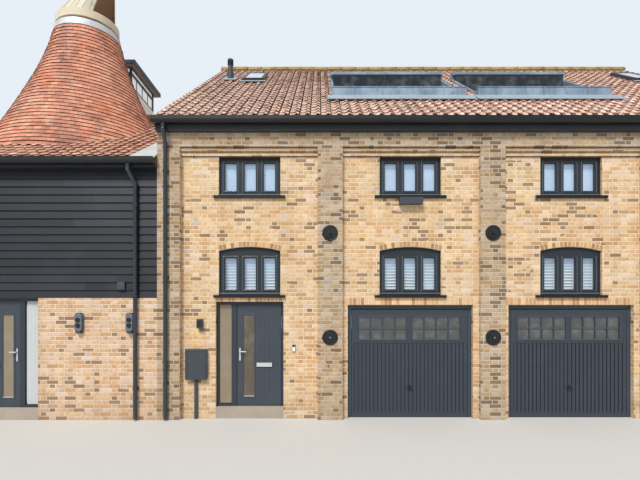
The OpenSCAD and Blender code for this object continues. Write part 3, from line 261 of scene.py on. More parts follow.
def bricks(name, round_wall=False, tone=(1.0, 1.0, 1.0), piers=0.95):
    """Flemish bond in yellow stock bricks with pale joints, on a flat or a round wall.

    Brick by brick, some are burnt dark and some are pale. The piers that stand before the panels are greyer,
    and the corbelled heads of the panels have a shadow under each course.
    """
    paint = Paint(name)
    x, y, z = paint.place().parts()
    if round_wall:
        along = (y - KILN_AXIS.y).math("ARCTAN2", x - KILN_AXIS.x) * 2.25
    else:
        side = paint.normal().parts()[0].size().over(0.7)
        along = x * (1 - side) + (y + 0.11) * side
    pair = STRETCHER + HEADER
    row = ((z + 0.003) / COURSE).floor()
    up = (z + 0.003).wrap(0, COURSE)
    shifted = along + row.wrap(0, 2) * (pair / 2) + 40
    place = shifted.wrap(0, pair)
    header = place.over(STRETCHER)
    start = place - header * STRETCHER
    length = STRETCHER - header * (STRETCHER - HEADER)
    edge = start.lower_of(length - start).lower_of(up.lower_of(COURSE - up))
    where = paint.place()
    wobble = paint.noise(where, 60, 2)
    brick = (edge + (wobble - 0.5) * 0.004).rise(0.0048, 0.0085)
    number = (shifted / pair).floor() * 2 + header
    chance = paint.random(number, row, 3.0)
    patch = paint.noise(where, 0.9, 2)
    paint.colour = paint.ramp((chance * 0.8 + 0.14 + (patch - 0.5) * 0.6).clamped(), BRICK_STOPS)
    grain = paint.noise(where, 220, 3)
    cluster = paint.patches(where, 0.8, 3, 0.42, 0.66, 0.16, stretch=(0.6, 0.6, 1.3))
    pier = y.size().over(-WALL_FACE - 0.05)
    burnt = (paint.random(number, row, 9.0) + cluster + pier * 0.10).over(0.95)
    paint.lay(burnt * 0.70, shade(96, 76, 60))
    paint.lay(paint.patches(where, 15, 3, 0.42, 0.66, 0.42, roughness=0.6), shade(178, 138, 100))
    paint.lay(paint.random(row, number, 6.0).over(0.9) * 0.5, shade(240, 222, 206))
    paint.lay((grain - 0.5).size() * 0.7, shade(168, 122, 84))
    joint = paint.blend(paint.patches(where, 6, 3, 0.35, 0.7, 0.5), MORTAR, shade(214, 188, 150))
    paint.colour = paint.blend(brick, joint, paint.colour)
    dirt = (1.2 - z).rise(0.2, 1.3) * paint.noise(where, 2.5, 4) * 0.35
    paint.lay(dirt, shade(150, 122, 92))
    weather = paint.patches(where, 1.6, 4, 0.45, 0.75, 0.22, stretch=(1.5, 1.5, 0.25))
    paint.lay(weather, shade(176, 150, 118), "MULTIPLY")
    paint.lay(pier * piers, shade(216, 220, 227), "MULTIPLY")
    paint.lay(1.0, tone, "MULTIPLY")
    if not round_wall:
        # Painted shadow under each corbelled course over the recessed panels
        under = (z - CORBEL_FOOT).wrap(0, COURSE).rise(COURSE - 0.024, COURSE - 0.010)
        stack = z.over(CORBEL_FOOT - COURSE) * z.under(CORBEL_FOOT + 2 * COURSE)
        recessed = y.size().under(-WALL_FACE - RECESS / 3 + 0.006)
        paint.lay(under * stack * recessed * 0.85, shade(70, 46, 28))
    height = brick * 0.8 + grain * 0.25 + chance * 0.15
    return paint.finish(0.93 - brick * 0.05, height, 0.008, 0.9)


def in_bay(x):
    """Distance from the middle of the nearest bay."""
    return (x - BAY_0 + BAY_PITCH / 2).wrap(0, BAY_PITCH) - BAY_PITCH / 2


def round_arch(x, z):
    """Place along the arched head of a lower window, and height over its curve."""
    radius = 2.3088
    across = in_bay(x)
    up = z - (2.380 + 0.857 + 0.078 - radius)
    return across.math("ARCTAN2", up) * (radius + 0.05), (across * across + up * up) ** 0.5 - radius


def under_heads(where):
    """Deep shade under the heads of the windows."""
    x, y, z = where.parts()
    upper = z.rise(4.980, 5.005)
    return upper.higher_of(round_arch(x, z)[1].rise(-0.058, -0.034) * z.under(4.0))


def sash_rim_highlights(where):
    """Painted highlights on the outer edges of the casements."""
    across = in_bay(where.parts()[0])
    return ((across + 0.1875).wrap(0, 0.375) - 0.1875).size().rise(0.141, 0.145)


def in_grooves(where):
    """The shaded side of each groove of a garage leaf."""
    x, y, z = where.parts()
    start = (in_bay(x) + RIB_START).wrap(0, RIB)
    return start.rise(0.014, 0.018) * start.rise(0.038, 0.030) * z.under(1.450) * z.over(0.110)


LINTEL_STOPS = stops((0.0, 186, 134, 92), (0.4, 216, 170, 122), (0.75, 228, 188, 142), (1.0, 240, 206, 158))
ARCH_STOPS = stops((0.0, 158, 118, 80), (0.35, 198, 154, 104), (0.7, 220, 176, 120), (1.0, 236, 198, 144))


def soldiers(name, arch=False):
    """A course of bricks stood on end over a door, or on edge round an arch."""
    paint = Paint(name)
    where = paint.place()
    x, y, z = where.parts()
    if arch:
        along, rest = round_arch(x, z)
        height, pitch, number_up, tones = 0.102, 0.0765, 0.0, ARCH_STOPS
    else:
        along, rest = x + 0.011, z - 2.190
        height, pitch, number_up, tones = 0.140, 0.0756, 1.0, LINTEL_STOPS
    shifted = along + 40
    start = shifted.wrap(0, pitch)
    edge = start.lower_of(pitch - start).lower_of((rest + 0.002).lower_of(height + 0.002 - rest))
    brick = edge.rise(0.003, 0.007)
    chance = paint.random((shifted / pitch).floor(), number_up, 5.0)
    grain = paint.noise(where, 220, 3)
    paint.colour = paint.ramp(chance, tones)
    paint.lay((grain - 0.5).size() * 0.6, shade(150, 104, 72))
    paint.colour = paint.blend(brick, MORTAR, paint.colour)
    return paint.finish(0.9, brick * 0.8 + grain * 0.2, 0.008, 0.9)


def clay(name, tones, lichen, spread=0.6, dark=0.35, streak=None, own=0.8, gauge=0.265, pitch=None):
    """Fired clay tiles: each tile has its own tone, with lichen, dark growth and rain streaks, a painted
    shadow just under the foot of each row and a painted highlight along each tile's nose.

    The pitch is a roof slope's, in degrees. Without one the rows go up the cone.
    """
    paint = Paint(name)
    where = paint.place()
    island = paint.node("ShaderNodeNewGeometry", {}, out=8)
    grain = paint.noise(where, 70, 4)
    patch = paint.noise(where, 1.1, 3)
    tone = (island * own + (patch - 0.3) * spread + (0.4 - own / 2)).clamped()
    paint.colour = paint.ramp(tone, tones)
    paint.lay(paint.patches(where, 9, 5, 0.52, 0.72, dark, roughness=0.65), shade(92, 66, 56))
    spots = paint.node("ShaderNodeTexVoronoi", {}, Vector=where, Scale=24.0).rise(0.26, 0.12)
    crust = spots * paint.noise(where, 3.2, 3).rise(0.46, 0.62)
    paint.lay(crust * 0.75, lichen)
    if streak:
        for scale, detail, low, high, share, stretch, colour in (
                (1.5, 4, 0.5, 0.68, 0.42, (3.4, 3.4, 0.45), streak),
                (1.1, 4, 0.5, 0.72, 0.55, (1.6, 1.6, 0.3), shade(138, 98, 92)),
                (0.9, 3, 0.55, 0.75, 0.5, (2.4, 2.4, 0.5), shade(232, 126, 78))):
            paint.lay(paint.patches(where, scale, detail, low, high, share, stretch=stretch), colour)
    paint.lay((grain - 0.5).size() * 0.9, tones[0][1])
    x, y, z = where.parts()
    if pitch is None:
        row = (z - CONE_BOX[0][2]).wrap(0, gauge)
        under = row.rise(gauge * 0.72, gauge * 0.9)
        smoke = paint.noise(where, 1.7, 3, stretch=(1.0, 1.0, 0.22)).rise(0.46, 0.70)
        tile = paint.random((island * 900).floor(), 2.0, 8.0).over(0.62)
        paint.lay(smoke * tile * 0.55, shade(112, 84, 78))
        paint.lay(tile * 0.10, shade(120, 76, 66))
    else:
        row = ((-ROOF_BOX[0][1] - y.size()) / math.cos(math.radians(pitch)) - ROW_START).wrap(0, gauge)
        under = row.rise(gauge * 0.84, gauge * 0.95)
    # Painted shadow just under the foot of each row
    paint.lay(under * 0.8, shade(66, 38, 36))
    # Painted highlight along the nose of each tile
    paint.lay(row.rise(gauge * 0.2, 0.003) * 0.35, tones[-1][1])
    return paint.finish(0.88 - crust * 0.05, grain + crust * 0.5, 0.004, 0.8)


def painted(name, colour, roughness=0.42, grime=0.25, metal=0.0, coat=0.0, glow=0.0, painted_light=None,
            painted_light_colour=(14, 16, 18)):
    """A painted or coated surface with faint unevenness, dust in patches and dirt that ran down. Where asked,
    painted shade and painted highlights are laid along lines, and the surface glows as painted light.
    """
    paint = Paint(name)
    base = shade(*colour)
    where = paint.place()
    fine = paint.noise(where, 380, 2)
    patch = paint.noise(where, 3.0, 4)
    runs = paint.noise(where, 2.0, 3, stretch=(9, 9, 0.8))
    paint.colour = base
    paint.lay(patch.rise(0.45, 0.8) * grime, tuple(min(1.0, c * 1.7 + 0.03) for c in base))
    paint.lay(runs.rise(0.55, 0.8) * grime * 0.8, darker(base, 0.45))
    height = fine * 0.4 + patch * 0.3
    # Painted light along the lines given: painted shade under the window heads and in the garage grooves,
    # painted highlights on the casement rims
    if painted_light:
        paint.lay(painted_light(where) * 0.85, shade(*painted_light_colour))
    # A glow where asked: painted light
    return paint.finish(patch * 0.25 + (roughness - 0.1), height, 0.0004, 0.5, Metallic=metal,
                        Coat_Weight=coat, Emission_Color=(*base, 1.0), Emission_Strength=glow)


def black_boards(name):
    """Stained boards: grain along their length, a slight sheen and butt joints here and there."""
    paint = Paint(name)
    board = 3.7
    where = paint.place()
    x, y, z = where.parts()
    row = ((z - 2.320) / 0.152).floor()
    chance = paint.random(row, 1.0, 4.0)
    along = x + chance * board + 30
    end = along.wrap(0, board)
    joint = end.lower_of(board - end).rise(0.003, 0.0015)
    grain = paint.noise(where, 7.0, 5, 0.6, stretch=(0.9, 0.9, 26))
    tone = paint.random(row, (along / board).floor(), 2.0)
    paint.colour = paint.ramp(tone * 0.6 + grain * 0.4,
                              stops((0.1, 16, 19, 27), (0.5, 26, 30, 41), (0.9, 40, 45, 60)))
    paint.lay(paint.patches(where, 1.7, 4, 0.45, 0.8, 0.25), shade(54, 58, 68))
    paint.lay(joint, (0.004, 0.004, 0.005))
    return paint.finish(grain * 0.3 + 0.38, grain - joint * 2, 0.002, 0.6)


def lead_sheet(name, colour=(122, 142, 162)):
    """Weathered lead: blue-grey with pale bloom, dark edges to the streaks and soft dents."""
    paint = Paint(name)
    where = paint.place()
    bloom = paint.noise(where, 2.2, 5, 0.6)
    runs = paint.noise(where, 2.4, 4, stretch=(6, 6, 1.0))
    dents = paint.noise(where, 7.0, 2)
    paint.colour = shade(*colour)
    paint.lay(bloom.rise(0.38, 0.7) * 0.6, shade(170, 188, 204))
    paint.lay(runs.rise(0.52, 0.72) * 0.5, darker(shade(*colour), 0.5))
    return paint.finish(bloom * 0.2 + 0.45, dents, 0.006, 0.7, Metallic=0.25)


def white_boards(name):
    """Painted boards that run up the cowl, with dirt that gathers low and in the joints between them."""
    paint = Paint(name)
    where = paint.place()
    x, y, z = where.parts()
    lean = (z - 9.66) * (0.6 / 1.69)
    out_x, out_y = x - KILN_AXIS.x - lean, y - KILN_AXIS.y
    boards = out_y.math("ARCTAN2", out_x) * (30 / (2 * math.pi)) + 60
    start = boards.math("FRACT")
    joint = start.lower_of(1 - start).rise(0.06, 0.02)
    tone = paint.random(boards.floor(), 0.0, 1.0)
    grain = paint.noise(where, 2.5, 4, stretch=(20, 20, 1.1))
    paint.colour = paint.ramp(tone * 0.5 + grain * 0.5,
                              stops((0.1, 186, 177, 152), (0.5, 212, 204, 182), (0.9, 226, 220, 202)))
    dirt = paint.noise(where, 4, 5).rise(0.5, 0.75) * (10.4 - z).rise(0.0, 0.9) * 0.6
    paint.lay(dirt, shade(150, 134, 104))
    paint.lay(joint * 0.75, shade(112, 100, 80))
    nx, ny, _ = paint.normal().parts()
    paint.lay((out_x * nx + out_y * ny).under(0.0), shade(186, 150, 120))
    return paint.finish(grain * 0.2 + 0.55, grain * 0.2 - joint, 0.006, 0.8)


def clear_glass(name, tint, alpha=0.22, roughness=0.03, sky=False, glow=0.0):
    """Window glass with a faint tint and dust. Sky panes get a painted sky reflection with clouds, stronger
    towards their heads, and a painted glow; other panes glow only where asked, as painted light.
    """
    paint = Paint(name)
    dust = paint.noise(paint.place(), 5, 4)
    cover = dust * 0.08 + alpha
    if sky:
        # Painted sky reflection: the pale tint covers more of the pane in patches of cloud and towards its
        # head
        z = paint.place().parts()[2]
        cloud_reflection = paint.patches(paint.place(), 1.3, 3, 0.35, 0.7, 0.16)
        low = z.rise(2.60, 3.30) * 0.28 + 0.06
        cover = (cover + cloud_reflection + low.higher_of(z.over(4.0) * 0.46)).clamped()
    paint.colour = shade(*tint)
    paint.lay(dust.rise(0.4, 0.8) * 0.3, shade(150, 158, 164))
    # The glow is painted light
    return paint.finish(dust * 0.06 + roughness, Alpha=cover, Specular_IOR_Level=0.8, IOR=1.5,
                        Emission_Color=(*shade(*tint), 1.0), Emission_Strength=0.30 if sky else glow)


def plain_concrete(name, colour):
    """Concrete or mortar, darker in patches and in its grain."""
    paint = Paint(name)
    where = paint.place()
    patch = paint.noise(where, 2.0, 5)
    grain = paint.noise(where, 160, 3)
    paint.colour = shade(*colour)
    paint.lay(patch.rise(0.35, 0.7) * 0.5, darker(shade(*colour), 0.7))
    paint.lay(grain.rise(0.5, 0.8) * 0.3, darker(shade(*colour), 0.55))
    return paint.finish(0.9, grain, 0.002, 0.7)


def timber(name, colour):
    """Sawn timber with long grain."""
    paint = Paint(name)
    grain = paint.noise(paint.place(), 3.0, 5, 0.6, stretch=(2, 14, 14))
    paint.colour = paint.ramp(grain, [(place, darker(shade(*colour), share))
                                      for place, share in ((0.25, 0.5), (0.55, 1.0), (0.8, 1.3))])
    return paint.finish(0.78, grain, 0.002, 0.6)


PANTILE_STOPS = stops((0.0, 160, 128, 114), (0.25, 206, 172, 158), (0.5, 230, 200, 184),
                      (0.75, 240, 196, 172), (1.0, 252, 234, 222))
WING_STOPS = stops((0.0, 150, 106, 92), (0.25, 196, 148, 128), (0.5, 222, 172, 148), (0.75, 230, 170, 140),
                   (1.0, 244, 208, 190))
PLAIN_STOPS = stops((0.0, 158, 100, 82), (0.3, 204, 136, 110), (0.6, 226, 152, 122), (0.85, 240, 172, 140),
                    (1.0, 216, 162, 140))
RIDGE_STOPS = stops((0.0, 112, 96, 52), (0.5, 158, 138, 66), (1.0, 186, 160, 92))
PAINTS = {}


def make_paints():
    """All finishes of the house, made once."""
    PAINTS.update({
        "brick": bricks("yellow_stock_brick"),
        "kiln_brick": bricks("kiln_brick", round_wall=True, tone=(0.9, 0.9, 0.9)),
        "wing_brick": bricks("wing_brick", tone=(1.0, 0.97, 1.02), piers=0.1),
        "soldiers": soldiers("soldier_course"),
        "arches": soldiers("arch_headers", arch=True),
        "pantiles": clay("pantile_clay", PANTILE_STOPS, shade(232, 222, 200), pitch=RANGE_PITCH),
        "wing_pantiles": clay("wing_pantile_clay", WING_STOPS, shade(232, 214, 186), pitch=WING_PITCH),
        "plain_tiles": clay("plain_tile_clay", PLAIN_STOPS, shade(236, 208, 184), 0.7, 0.22,
                            shade(240, 196, 168), own=0.6, gauge=0.1005714),
        "ridge": clay("ridge_tile_clay", RIDGE_STOPS, shade(204, 190, 70), 0.7, gauge=50.0),
        "boards": black_boards("stained_boards"),
        "fascia": painted("fascia_paint", (40, 43, 49), 0.38, 0.15),
        "gutter": painted("gutter_plastic", (17, 18, 21), 0.4, 0.08, coat=0.05),
        "lead": lead_sheet("lead"),
        "pale_lead": lead_sheet("pale_lead", (162, 176, 190)),
        "white_lead": lead_sheet("white_lead", (214, 216, 216)),
        "pipes": painted("downpipe_plastic", (42, 49, 58), 0.28, 0.12, coat=0.4),
        "frames": painted("window_frame_paint", (44, 52, 61), 0.36, 0.12, coat=0.15),
        # Casements with painted highlights on their outer edges
        "sashes": painted("sash_paint", (38, 46, 54), 0.3, 0.1, coat=0.25, painted_light=sash_rim_highlights,
                          painted_light_colour=(104, 116, 128)),
        # Window frames with painted shade under the window heads
        "window_frames": painted("framing_paint", (34, 42, 50), 0.36, 0.1, coat=0.15, painted_light=under_heads),
        # Pale drip bars and glazing beads: their own paint, and also a painted highlight along the window
        # feet and the garage glazing
        "drip": painted("pale_bar_and_highlight_paint", (112, 124, 134), 0.34, 0.1),
        "garage_frame": painted("garage_frame_paint", (58, 69, 79), 0.4, 0.12),
        "bright": painted("bright_metal", (208, 212, 216), 0.35, 0.05, metal=0.3),
        "sills": painted("sill_paint", (13, 14, 16), 0.45, 0.1),
        "door": painted("door_paint", (58, 67, 78), 0.4, 0.12, coat=0.1),
        # Garage leaves with painted shade on one side of each groove
        "garage": painted("garage_paint", (54, 62, 74), 0.42, 0.10, coat=0.05, painted_light=in_grooves,
                          painted_light_colour=(18, 22, 30)),
        # Window panes with a painted sky reflection and glow
        "glass": clear_glass("window_glass", (180, 202, 226), 0.06, sky=True),
        "garage_glass": clear_glass("garage_glass", (78, 82, 79), 0.86, 0.10),
        "amber_glass": clear_glass("amber_glass", (146, 130, 106), 0.90, 0.10),
        # Pale, nearly opaque rooflight panes: a painted sky reflection
        "sky_glass": clear_glass("sky_glass", (226, 236, 250), 0.94, 0.04),
        # Pale lantern panes that glow as painted light
        "lantern_glass": clear_glass("lantern_glass", (236, 242, 246), 0.9, 0.06, glow=0.3),
        "curtain": painted("curtain_cloth", (198, 203, 204), 0.85, 0.08),
        "hoop": painted("cowl_hoop_paint", (222, 211, 184), 0.6, 0.14),
        "dark_glass": clear_glass("dark_glass", (26, 34, 44), 0.8),
        "frosted_glass": clear_glass("frosted_glass", (96, 84, 68), 0.88, 0.12),
        # Shutters with a painted glow, for the sky's reflection on the glass in front of them
        "shutters": painted("shutter_paint", (218, 219, 208), 0.5, 0.05, glow=0.16),
        "iron": painted("iron_paint", (24, 25, 28), 0.45, 0.2),
        "fittings": painted("fitting_plastic", (62, 68, 78), 0.5, 0.2),
        "zinc": painted("galvanised_steel", (150, 154, 158), 0.42, 0.2, metal=0.85),
        "oak": timber("weathered_oak", (126, 100, 76)),
        "floor": timber("floor_softwood", (186, 150, 110)),
        "rafters": timber("roof_timber", (120, 96, 74)),
        "soffit": timber("soffit_boards", (150, 140, 136)),
        "white_boards": white_boards("cowl_boards"),
        # White render with a painted glow, on the lantern walls and bell covers
        "render": painted("white_render", (236, 234, 228), 0.7, 0.06, glow=0.12),
        "dark_roof": painted("dark_roof_sheet", (74, 80, 86), 0.5, 0.3),
        "concrete": plain_concrete("floated_concrete", (176, 164, 150)),
        "lamp": painted("lamp_housing", (104, 110, 118), 0.4, 0.15),
        "mortar": plain_concrete("bedding_mortar", (196, 178, 150)),
    })


NODE_PAINTS = {
    "brick": "range_front_lower_wall range_front_upper_wall range_rear_wall range_gable_wall "
             "range_party_wall",
    "wing_brick": "wing_base_walls wing_end_wall", "soldiers": "opening_lintels", "arches": "window_arches",
    "kiln_brick": "kiln_wall", "concrete": "entrance_thresholds ground_slabs",
    "floor": "range_floors wing_first_floor", "pantiles": "range_roof_front range_roof_rear",
    "wing_pantiles": "wing_roof_front wing_roof_rear", "ridge": "ridge_tiles", "plain_tiles": "kiln_cone",
    "boards": "wing_boarding", "fascia": "eaves_boards", "gutter": "gutters", "pipes": "downpipes",
    "lead": "terrace_leadwork", "white_lead": "lead_gutter kiln_collar",
    "frames": "rooflights terrace_screens entrance_frames lantern_glazing",
    "window_frames": "upper_window_frames lower_window_frames rear_window_frames",
    "garage_frame": "garage_frames", "sills": "window_sills", "glass": "window_glass",
    "shutters": "window_shutters", "iron": "pattress_plates", "fittings": "wall_fittings roof_vent_pipe",
    "zinc": "garage_tracks garage_1_rollers garage_2_rollers", "garage": "garage_1_leaf garage_2_leaf",
    "door": "entrance_1_leaf entrance_2_leaf wing_entrance_leaf", "oak": "cowl_spindle", "hoop": "cowl_frame",
    "white_boards": "cowl_shell", "render": "lantern_walls", "dark_roof": "lantern_roof",
}


# Tools that every operator uses
def deselect():
    if bpy.context.object and bpy.context.object.mode != "OBJECT":
        bpy.ops.object.mode_set(mode="OBJECT")
    bpy.ops.object.select_all(action="DESELECT")


def alone(piece):
    """Makes one piece the only one selected and the active one."""
    deselect()
    piece.select_set(True)
    bpy.context.view_layer.objects.active = piece


def settle(piece):
    """Puts a piece's place and turn into its mesh."""
    alone(piece)
    bpy.ops.object.transform_apply(location=True, rotation=True, scale=True)


def started(name, **turns):
    """Takes up the shape that was just added: its name, its turn or scale, and these put into its mesh."""
    piece = bpy.context.object
    piece.name = name
    for key, value in turns.items():
        setattr(piece, key, value)
    settle(piece)
    return piece


def block(name, low, high, bevel=0.0, segments=2):
    """A box between two corners, with soft edges where asked."""
    deselect()
    low, high = Vector(low), Vector(high)
    bpy.ops.mesh.primitive_cube_add(size=1, location=(low + high) / 2)
    piece = started(name, scale=high - low)
    if bevel:
        soften(piece, bevel, segments)
    return piece


def rod(name, start, end, radius, sides=24, bevel=0.0):
    """A round bar between two points, with soft edges where asked."""
    deselect()
    start, end = Vector(start), Vector(end)
    bpy.ops.mesh.primitive_cylinder_add(vertices=sides, radius=radius, depth=(end - start).length,
                                        location=(start + end) / 2)
    piece = started(name, rotation_euler=(end - start).to_track_quat("Z", "Y").to_euler())
    if bevel:
        soften(piece, bevel, 2)
    return piece


def strip(name, steps, **turns):
    """A strip of a grid, one metre by one metre."""
    deselect()
    bpy.ops.mesh.primitive_grid_add(x_subdivisions=steps, y_subdivisions=1, size=1)
    return started(name, **turns)


def pick(piece, test=None, kind="FACE"):
    """Enters edit mode with the faces, edges or vertices that pass a test selected, or else all of them."""
    alone(piece)
    bpy.ops.object.mode_set(mode="EDIT")
    bpy.ops.mesh.select_mode(type=kind)
    bpy.ops.mesh.select_all(action="DESELECT")
    cage = bmesh.from_edit_mesh(piece.data)
    for item in {"FACE": cage.faces, "EDGE": cage.edges, "VERT": cage.verts}[kind]:
        if test is None or test(item):
            item.select_set(True)
    cage.select_flush_mode()
    bmesh.update_edit_mesh(piece.data)


def facing_up(face):
    return face.normal.z > 0.9


def facing_down(face):
    return face.normal.z < -0.9


def done():
    bpy.ops.object.mode_set(mode="OBJECT")


def pushed(piece, test, by, kind="FACE", inset=0.0):
    """Moves the faces or vertices that pass a test, after an inset where asked."""
    pick(piece, test, kind)
    if inset:
        bpy.ops.mesh.inset(thickness=inset)
    bpy.ops.transform.translate(value=by)
    done()


def add(piece, kind, **settings):
    """Adds a modifier and applies it."""
    alone(piece)
    made = piece.modifiers.new(kind.title(), kind)
    for key, value in settings.items():
        setattr(made, key, value)
    bpy.ops.object.modifier_apply(modifier=made.name)


def soften(piece, width=0.002, segments=1, angle=40):
    """Rounds the sharp edges a little, as paint and wear do."""
    add(piece, "BEVEL", width=width, segments=segments, limit_method="ANGLE", angle_limit=math.radians(angle))


def arrayed(piece, count, shift):
    """Repeats a piece in a row."""
    add(piece, "ARRAY", use_relative_offset=False, use_constant_offset=True, count=count,
        constant_offset_displace=shift)


def copied(piece, name, shift=(0, 0, 0), turn=None):
    """A copy with its own mesh, moved or turned in its mesh."""
    twin = piece.copy()
    twin.data = piece.data.copy()
    twin.name = name
    bpy.context.scene.collection.objects.link(twin)
    if turn is not None:
        twin.data.transform(turn)
    twin.data.transform(Matrix.Translation(shift))
    return twin


def joined(pieces, name):
    """Several pieces as one."""
    deselect()
    for piece in pieces:
        piece.select_set(True)
    bpy.context.view_layer.objects.active = pieces[0]
    if len(pieces) > 1:
        bpy.ops.object.join()
    pieces[0].name = name
    return pieces[0]


def bisected(piece, point, normal, fill=True):
    """Cuts off what lies on the side that the normal points to."""
    pick(piece)
    bpy.ops.mesh.bisect(plane_co=point, plane_no=normal, clear_outer=True, use_fill=fill)
    done()


def placed(piece, paint, body="house", stands_for=()):
    """Ends a piece: its finish, the body it rides on and the nodes it stands for."""
    piece.data.materials.clear()
    piece.data.materials.append(PAINTS[paint])
    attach(piece, body)
    if stands_for:
        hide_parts(*stands_for)
    return piece


def gathered(rows, body="house"):
    """Joins and ends groups of pieces, from rows of (name, pieces, finish, slot). The slot is not used."""
    for name, pieces, paint, slot in rows:
        placed(joined(pieces, name), paint, body)


def node_copy(node, name):
    """A copy of a node's mesh with its loose triangles joined up."""
    piece = bpy.data.objects.new(name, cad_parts[node].data.copy())
    bpy.context.scene.collection.objects.link(piece)
    pick(piece)
    bpy.ops.mesh.remove_doubles(threshold=0.00005)
    bpy.ops.mesh.tris_convert_to_quads()
    done()
    piece.data.materials.clear()
    return piece


class Slope:
    """The plane of a roof's tiles. A place on it is its distance along the house and up from the eaves."""

    def __init__(self, pitch, eaves_y, eaves_z, rear=False):
        self.pitch = math.radians(pitch)
        self.eaves = Vector((0, eaves_y, eaves_z))
        self.rear = rear
        self.length = abs(eaves_y) / math.cos(self.pitch)

    def matrix(self):
        """From (along, up the slope, out of it) to the house."""
        place = Matrix.Translation(self.eaves) @ Matrix.Rotation(self.pitch, 4, "X")
        return HALF_TURN @ place if self.rear else place

    def up(self, y):
        """Distance up the slope to a distance along Y, on the front."""
        return (y - self.eaves.y) / math.cos(self.pitch)


HALF_TURN = Matrix.Rotation(math.pi, 4, "Z")
RANGE_PITCH = 35.5
WING_PITCH = 30.0
CAD_EAVES, WING_CAD_EAVES, TILE_BED = 5.720, 4.960, 0.060
RANGE_SLOPE = Slope(RANGE_PITCH, ROOF_BOX[0][1], CAD_EAVES + TILE_BED / math.cos(math.radians(RANGE_PITCH)))
RANGE_REAR = Slope(RANGE_PITCH, ROOF_BOX[0][1], RANGE_SLOPE.eaves.z, rear=True)
WING_SLOPE = Slope(WING_PITCH, WING_ROOF_BOX[0][1],
                   WING_CAD_EAVES + TILE_BED / math.cos(math.radians(WING_PITCH)))
WING_REAR = Slope(WING_PITCH, WING_ROOF_BOX[0][1], WING_SLOPE.eaves.z, rear=True)
PAN_COVER = 0.200
PAN_GAUGE = 0.265
PAN_LAP = 0.070
ROW_START = -0.035
# Play of a pantile as it lies: out of the slope, in its tilt and up the slope
TILE_PLAY = ((-0.003, 0.004), (-0.02, 0.02), (-0.006, 0.006))
# Cross section of a pantile: place along the slope and height out of it
PAN_WAVE = ((0.0, -0.020), (0.030, -0.033), (0.075, -0.036), (0.108, -0.027), (0.128, -0.012),
            (0.146, 0.000), (0.166, 0.003), (0.186, -0.004), (0.206, -0.016))


def one_pantile(name):
    """A pantile on the slope's own plane, with its roll at the right, from a strip of a grid."""
    steps = len(PAN_WAVE) - 1
    length = PAN_GAUGE + PAN_LAP
    tile = strip(name, steps, scale=(1, length, 1))
    for number, (along, out) in enumerate(PAN_WAVE):
        here = number / steps - 0.5
        pushed(tile, lambda vert: abs(vert.co.x - here) < 0.01, (along - here, length / 2, out), "VERT")
    tilt = -0.031 / PAN_GAUGE
    for vert in tile.data.vertices:
        vert.co.z += vert.co.y * tilt + 0.005
    add(tile, "SOLIDIFY", thickness=0.013, offset=-1)
    return tile


def tile_field(slope, along, up, name, seed):
    """Pantiles over one rectangle of a slope, cut off at its edges."""
    x0, x1 = along
    s0, s1 = up
    first = math.floor(x0 / PAN_COVER)
    columns = math.ceil(x1 / PAN_COVER) - first
    row = math.floor((s0 - ROW_START) / PAN_GAUGE)
    rows = math.ceil((s1 - ROW_START) / PAN_GAUGE) - row
    tile = one_pantile(name)
    tile.data.transform(Matrix.Translation((first * PAN_COVER, row * PAN_GAUGE + ROW_START, 0)))
    arrayed(tile, columns, (PAN_COVER, 0, 0))
    arrayed(tile, rows, (0, PAN_GAUGE, 0))
    per_tile = 2 * len(PAN_WAVE) * 2
    chance = random.Random(seed)
    verts = tile.data.vertices
    for begin in range(0, len(verts), per_tile):
        lift, skew, slide = (chance.uniform(*ends) for ends in TILE_PLAY)
        middle = verts[begin].co.x + 0.1
        for vert in verts[begin:begin + per_tile]:
            vert.co.z += lift + (vert.co.x - middle) * skew
            vert.co.y += slide
    bisected(tile, (x0, 0, 0), (-1, 0, 0))
    bisected(tile, (x1, 0, 0), (1, 0, 0))
    bisected(tile, (0, s1, 0), (0, 1, 0))
    if s0 > 0.01:
        bisected(tile, (0, s0, 0), (0, -1, 0))
    return tile


def under_boards(part, slope):
    """What lies under the tiles: the node's own shape, cut off below the tiles' undersides."""
    node = part.replace("_", "_roof_")
    piece = node_copy(node, f"{part}_boards")
    piece.data.transform(slope.matrix().inverted())
    bisected(piece, (0, 0, -0.084), (0, 0, 1))
    piece.data.transform(slope.matrix())
    return placed(piece, "rafters", stands_for=[node])


def ridge_run(name, x0, x1, slope, seed):
    """Half-round ridge tiles bedded end to end, each one modelled from a cut cylinder."""
    deselect()
    length = 0.42
    spaced = length + 0.012
    bpy.ops.mesh.primitive_cylinder_add(vertices=24, radius=0.125, depth=length, end_fill_type="NOTHING")
    tile = started(name, rotation_euler=(0, math.pi / 2, 0))
    bisected(tile, (0, 0, -0.02), (0, 0, -1), fill=False)
    add(tile, "SOLIDIFY", thickness=0.016, offset=-1)
    ridge_z = slope.eaves.z + slope.length * math.sin(slope.pitch)
    count = max(1, round((x1 - x0) / spaced))
    pitch = (x1 - x0) / count
    tile.data.transform(Matrix.Diagonal((pitch / spaced, 1, 1, 1)))
    arrayed(tile, count, (pitch, 0, 0))
    tile.data.transform(Matrix.Translation((x0 + pitch / 2, 0, ridge_z - 0.065)))
    chance = random.Random(seed)
    verts = tile.data.vertices
    per_tile = len(verts) // count
    for begin in range(0, len(verts), per_tile):
        lift, tip = chance.uniform(-0.006, 0.003), chance.uniform(-0.012, 0.012)
        middle = verts[begin].co.x
        for vert in verts[begin:begin + per_tile]:
            vert.co.z += lift + (vert.co.x - middle) * tip
    bed = block(name + "_bed", (x0, -0.105, ridge_z - 0.115), (x1, 0.105, ridge_z - 0.030))
    pick(bed, facing_up)
    bpy.ops.transform.resize(value=(1, 0.55, 1))
    done()
    soften(bed, 0.012, 2)
    placed(bed, "mortar")
    for polygon in tile.data.polygons:
        polygon.use_smooth = abs(polygon.normal.x) < 0.5
    return tile


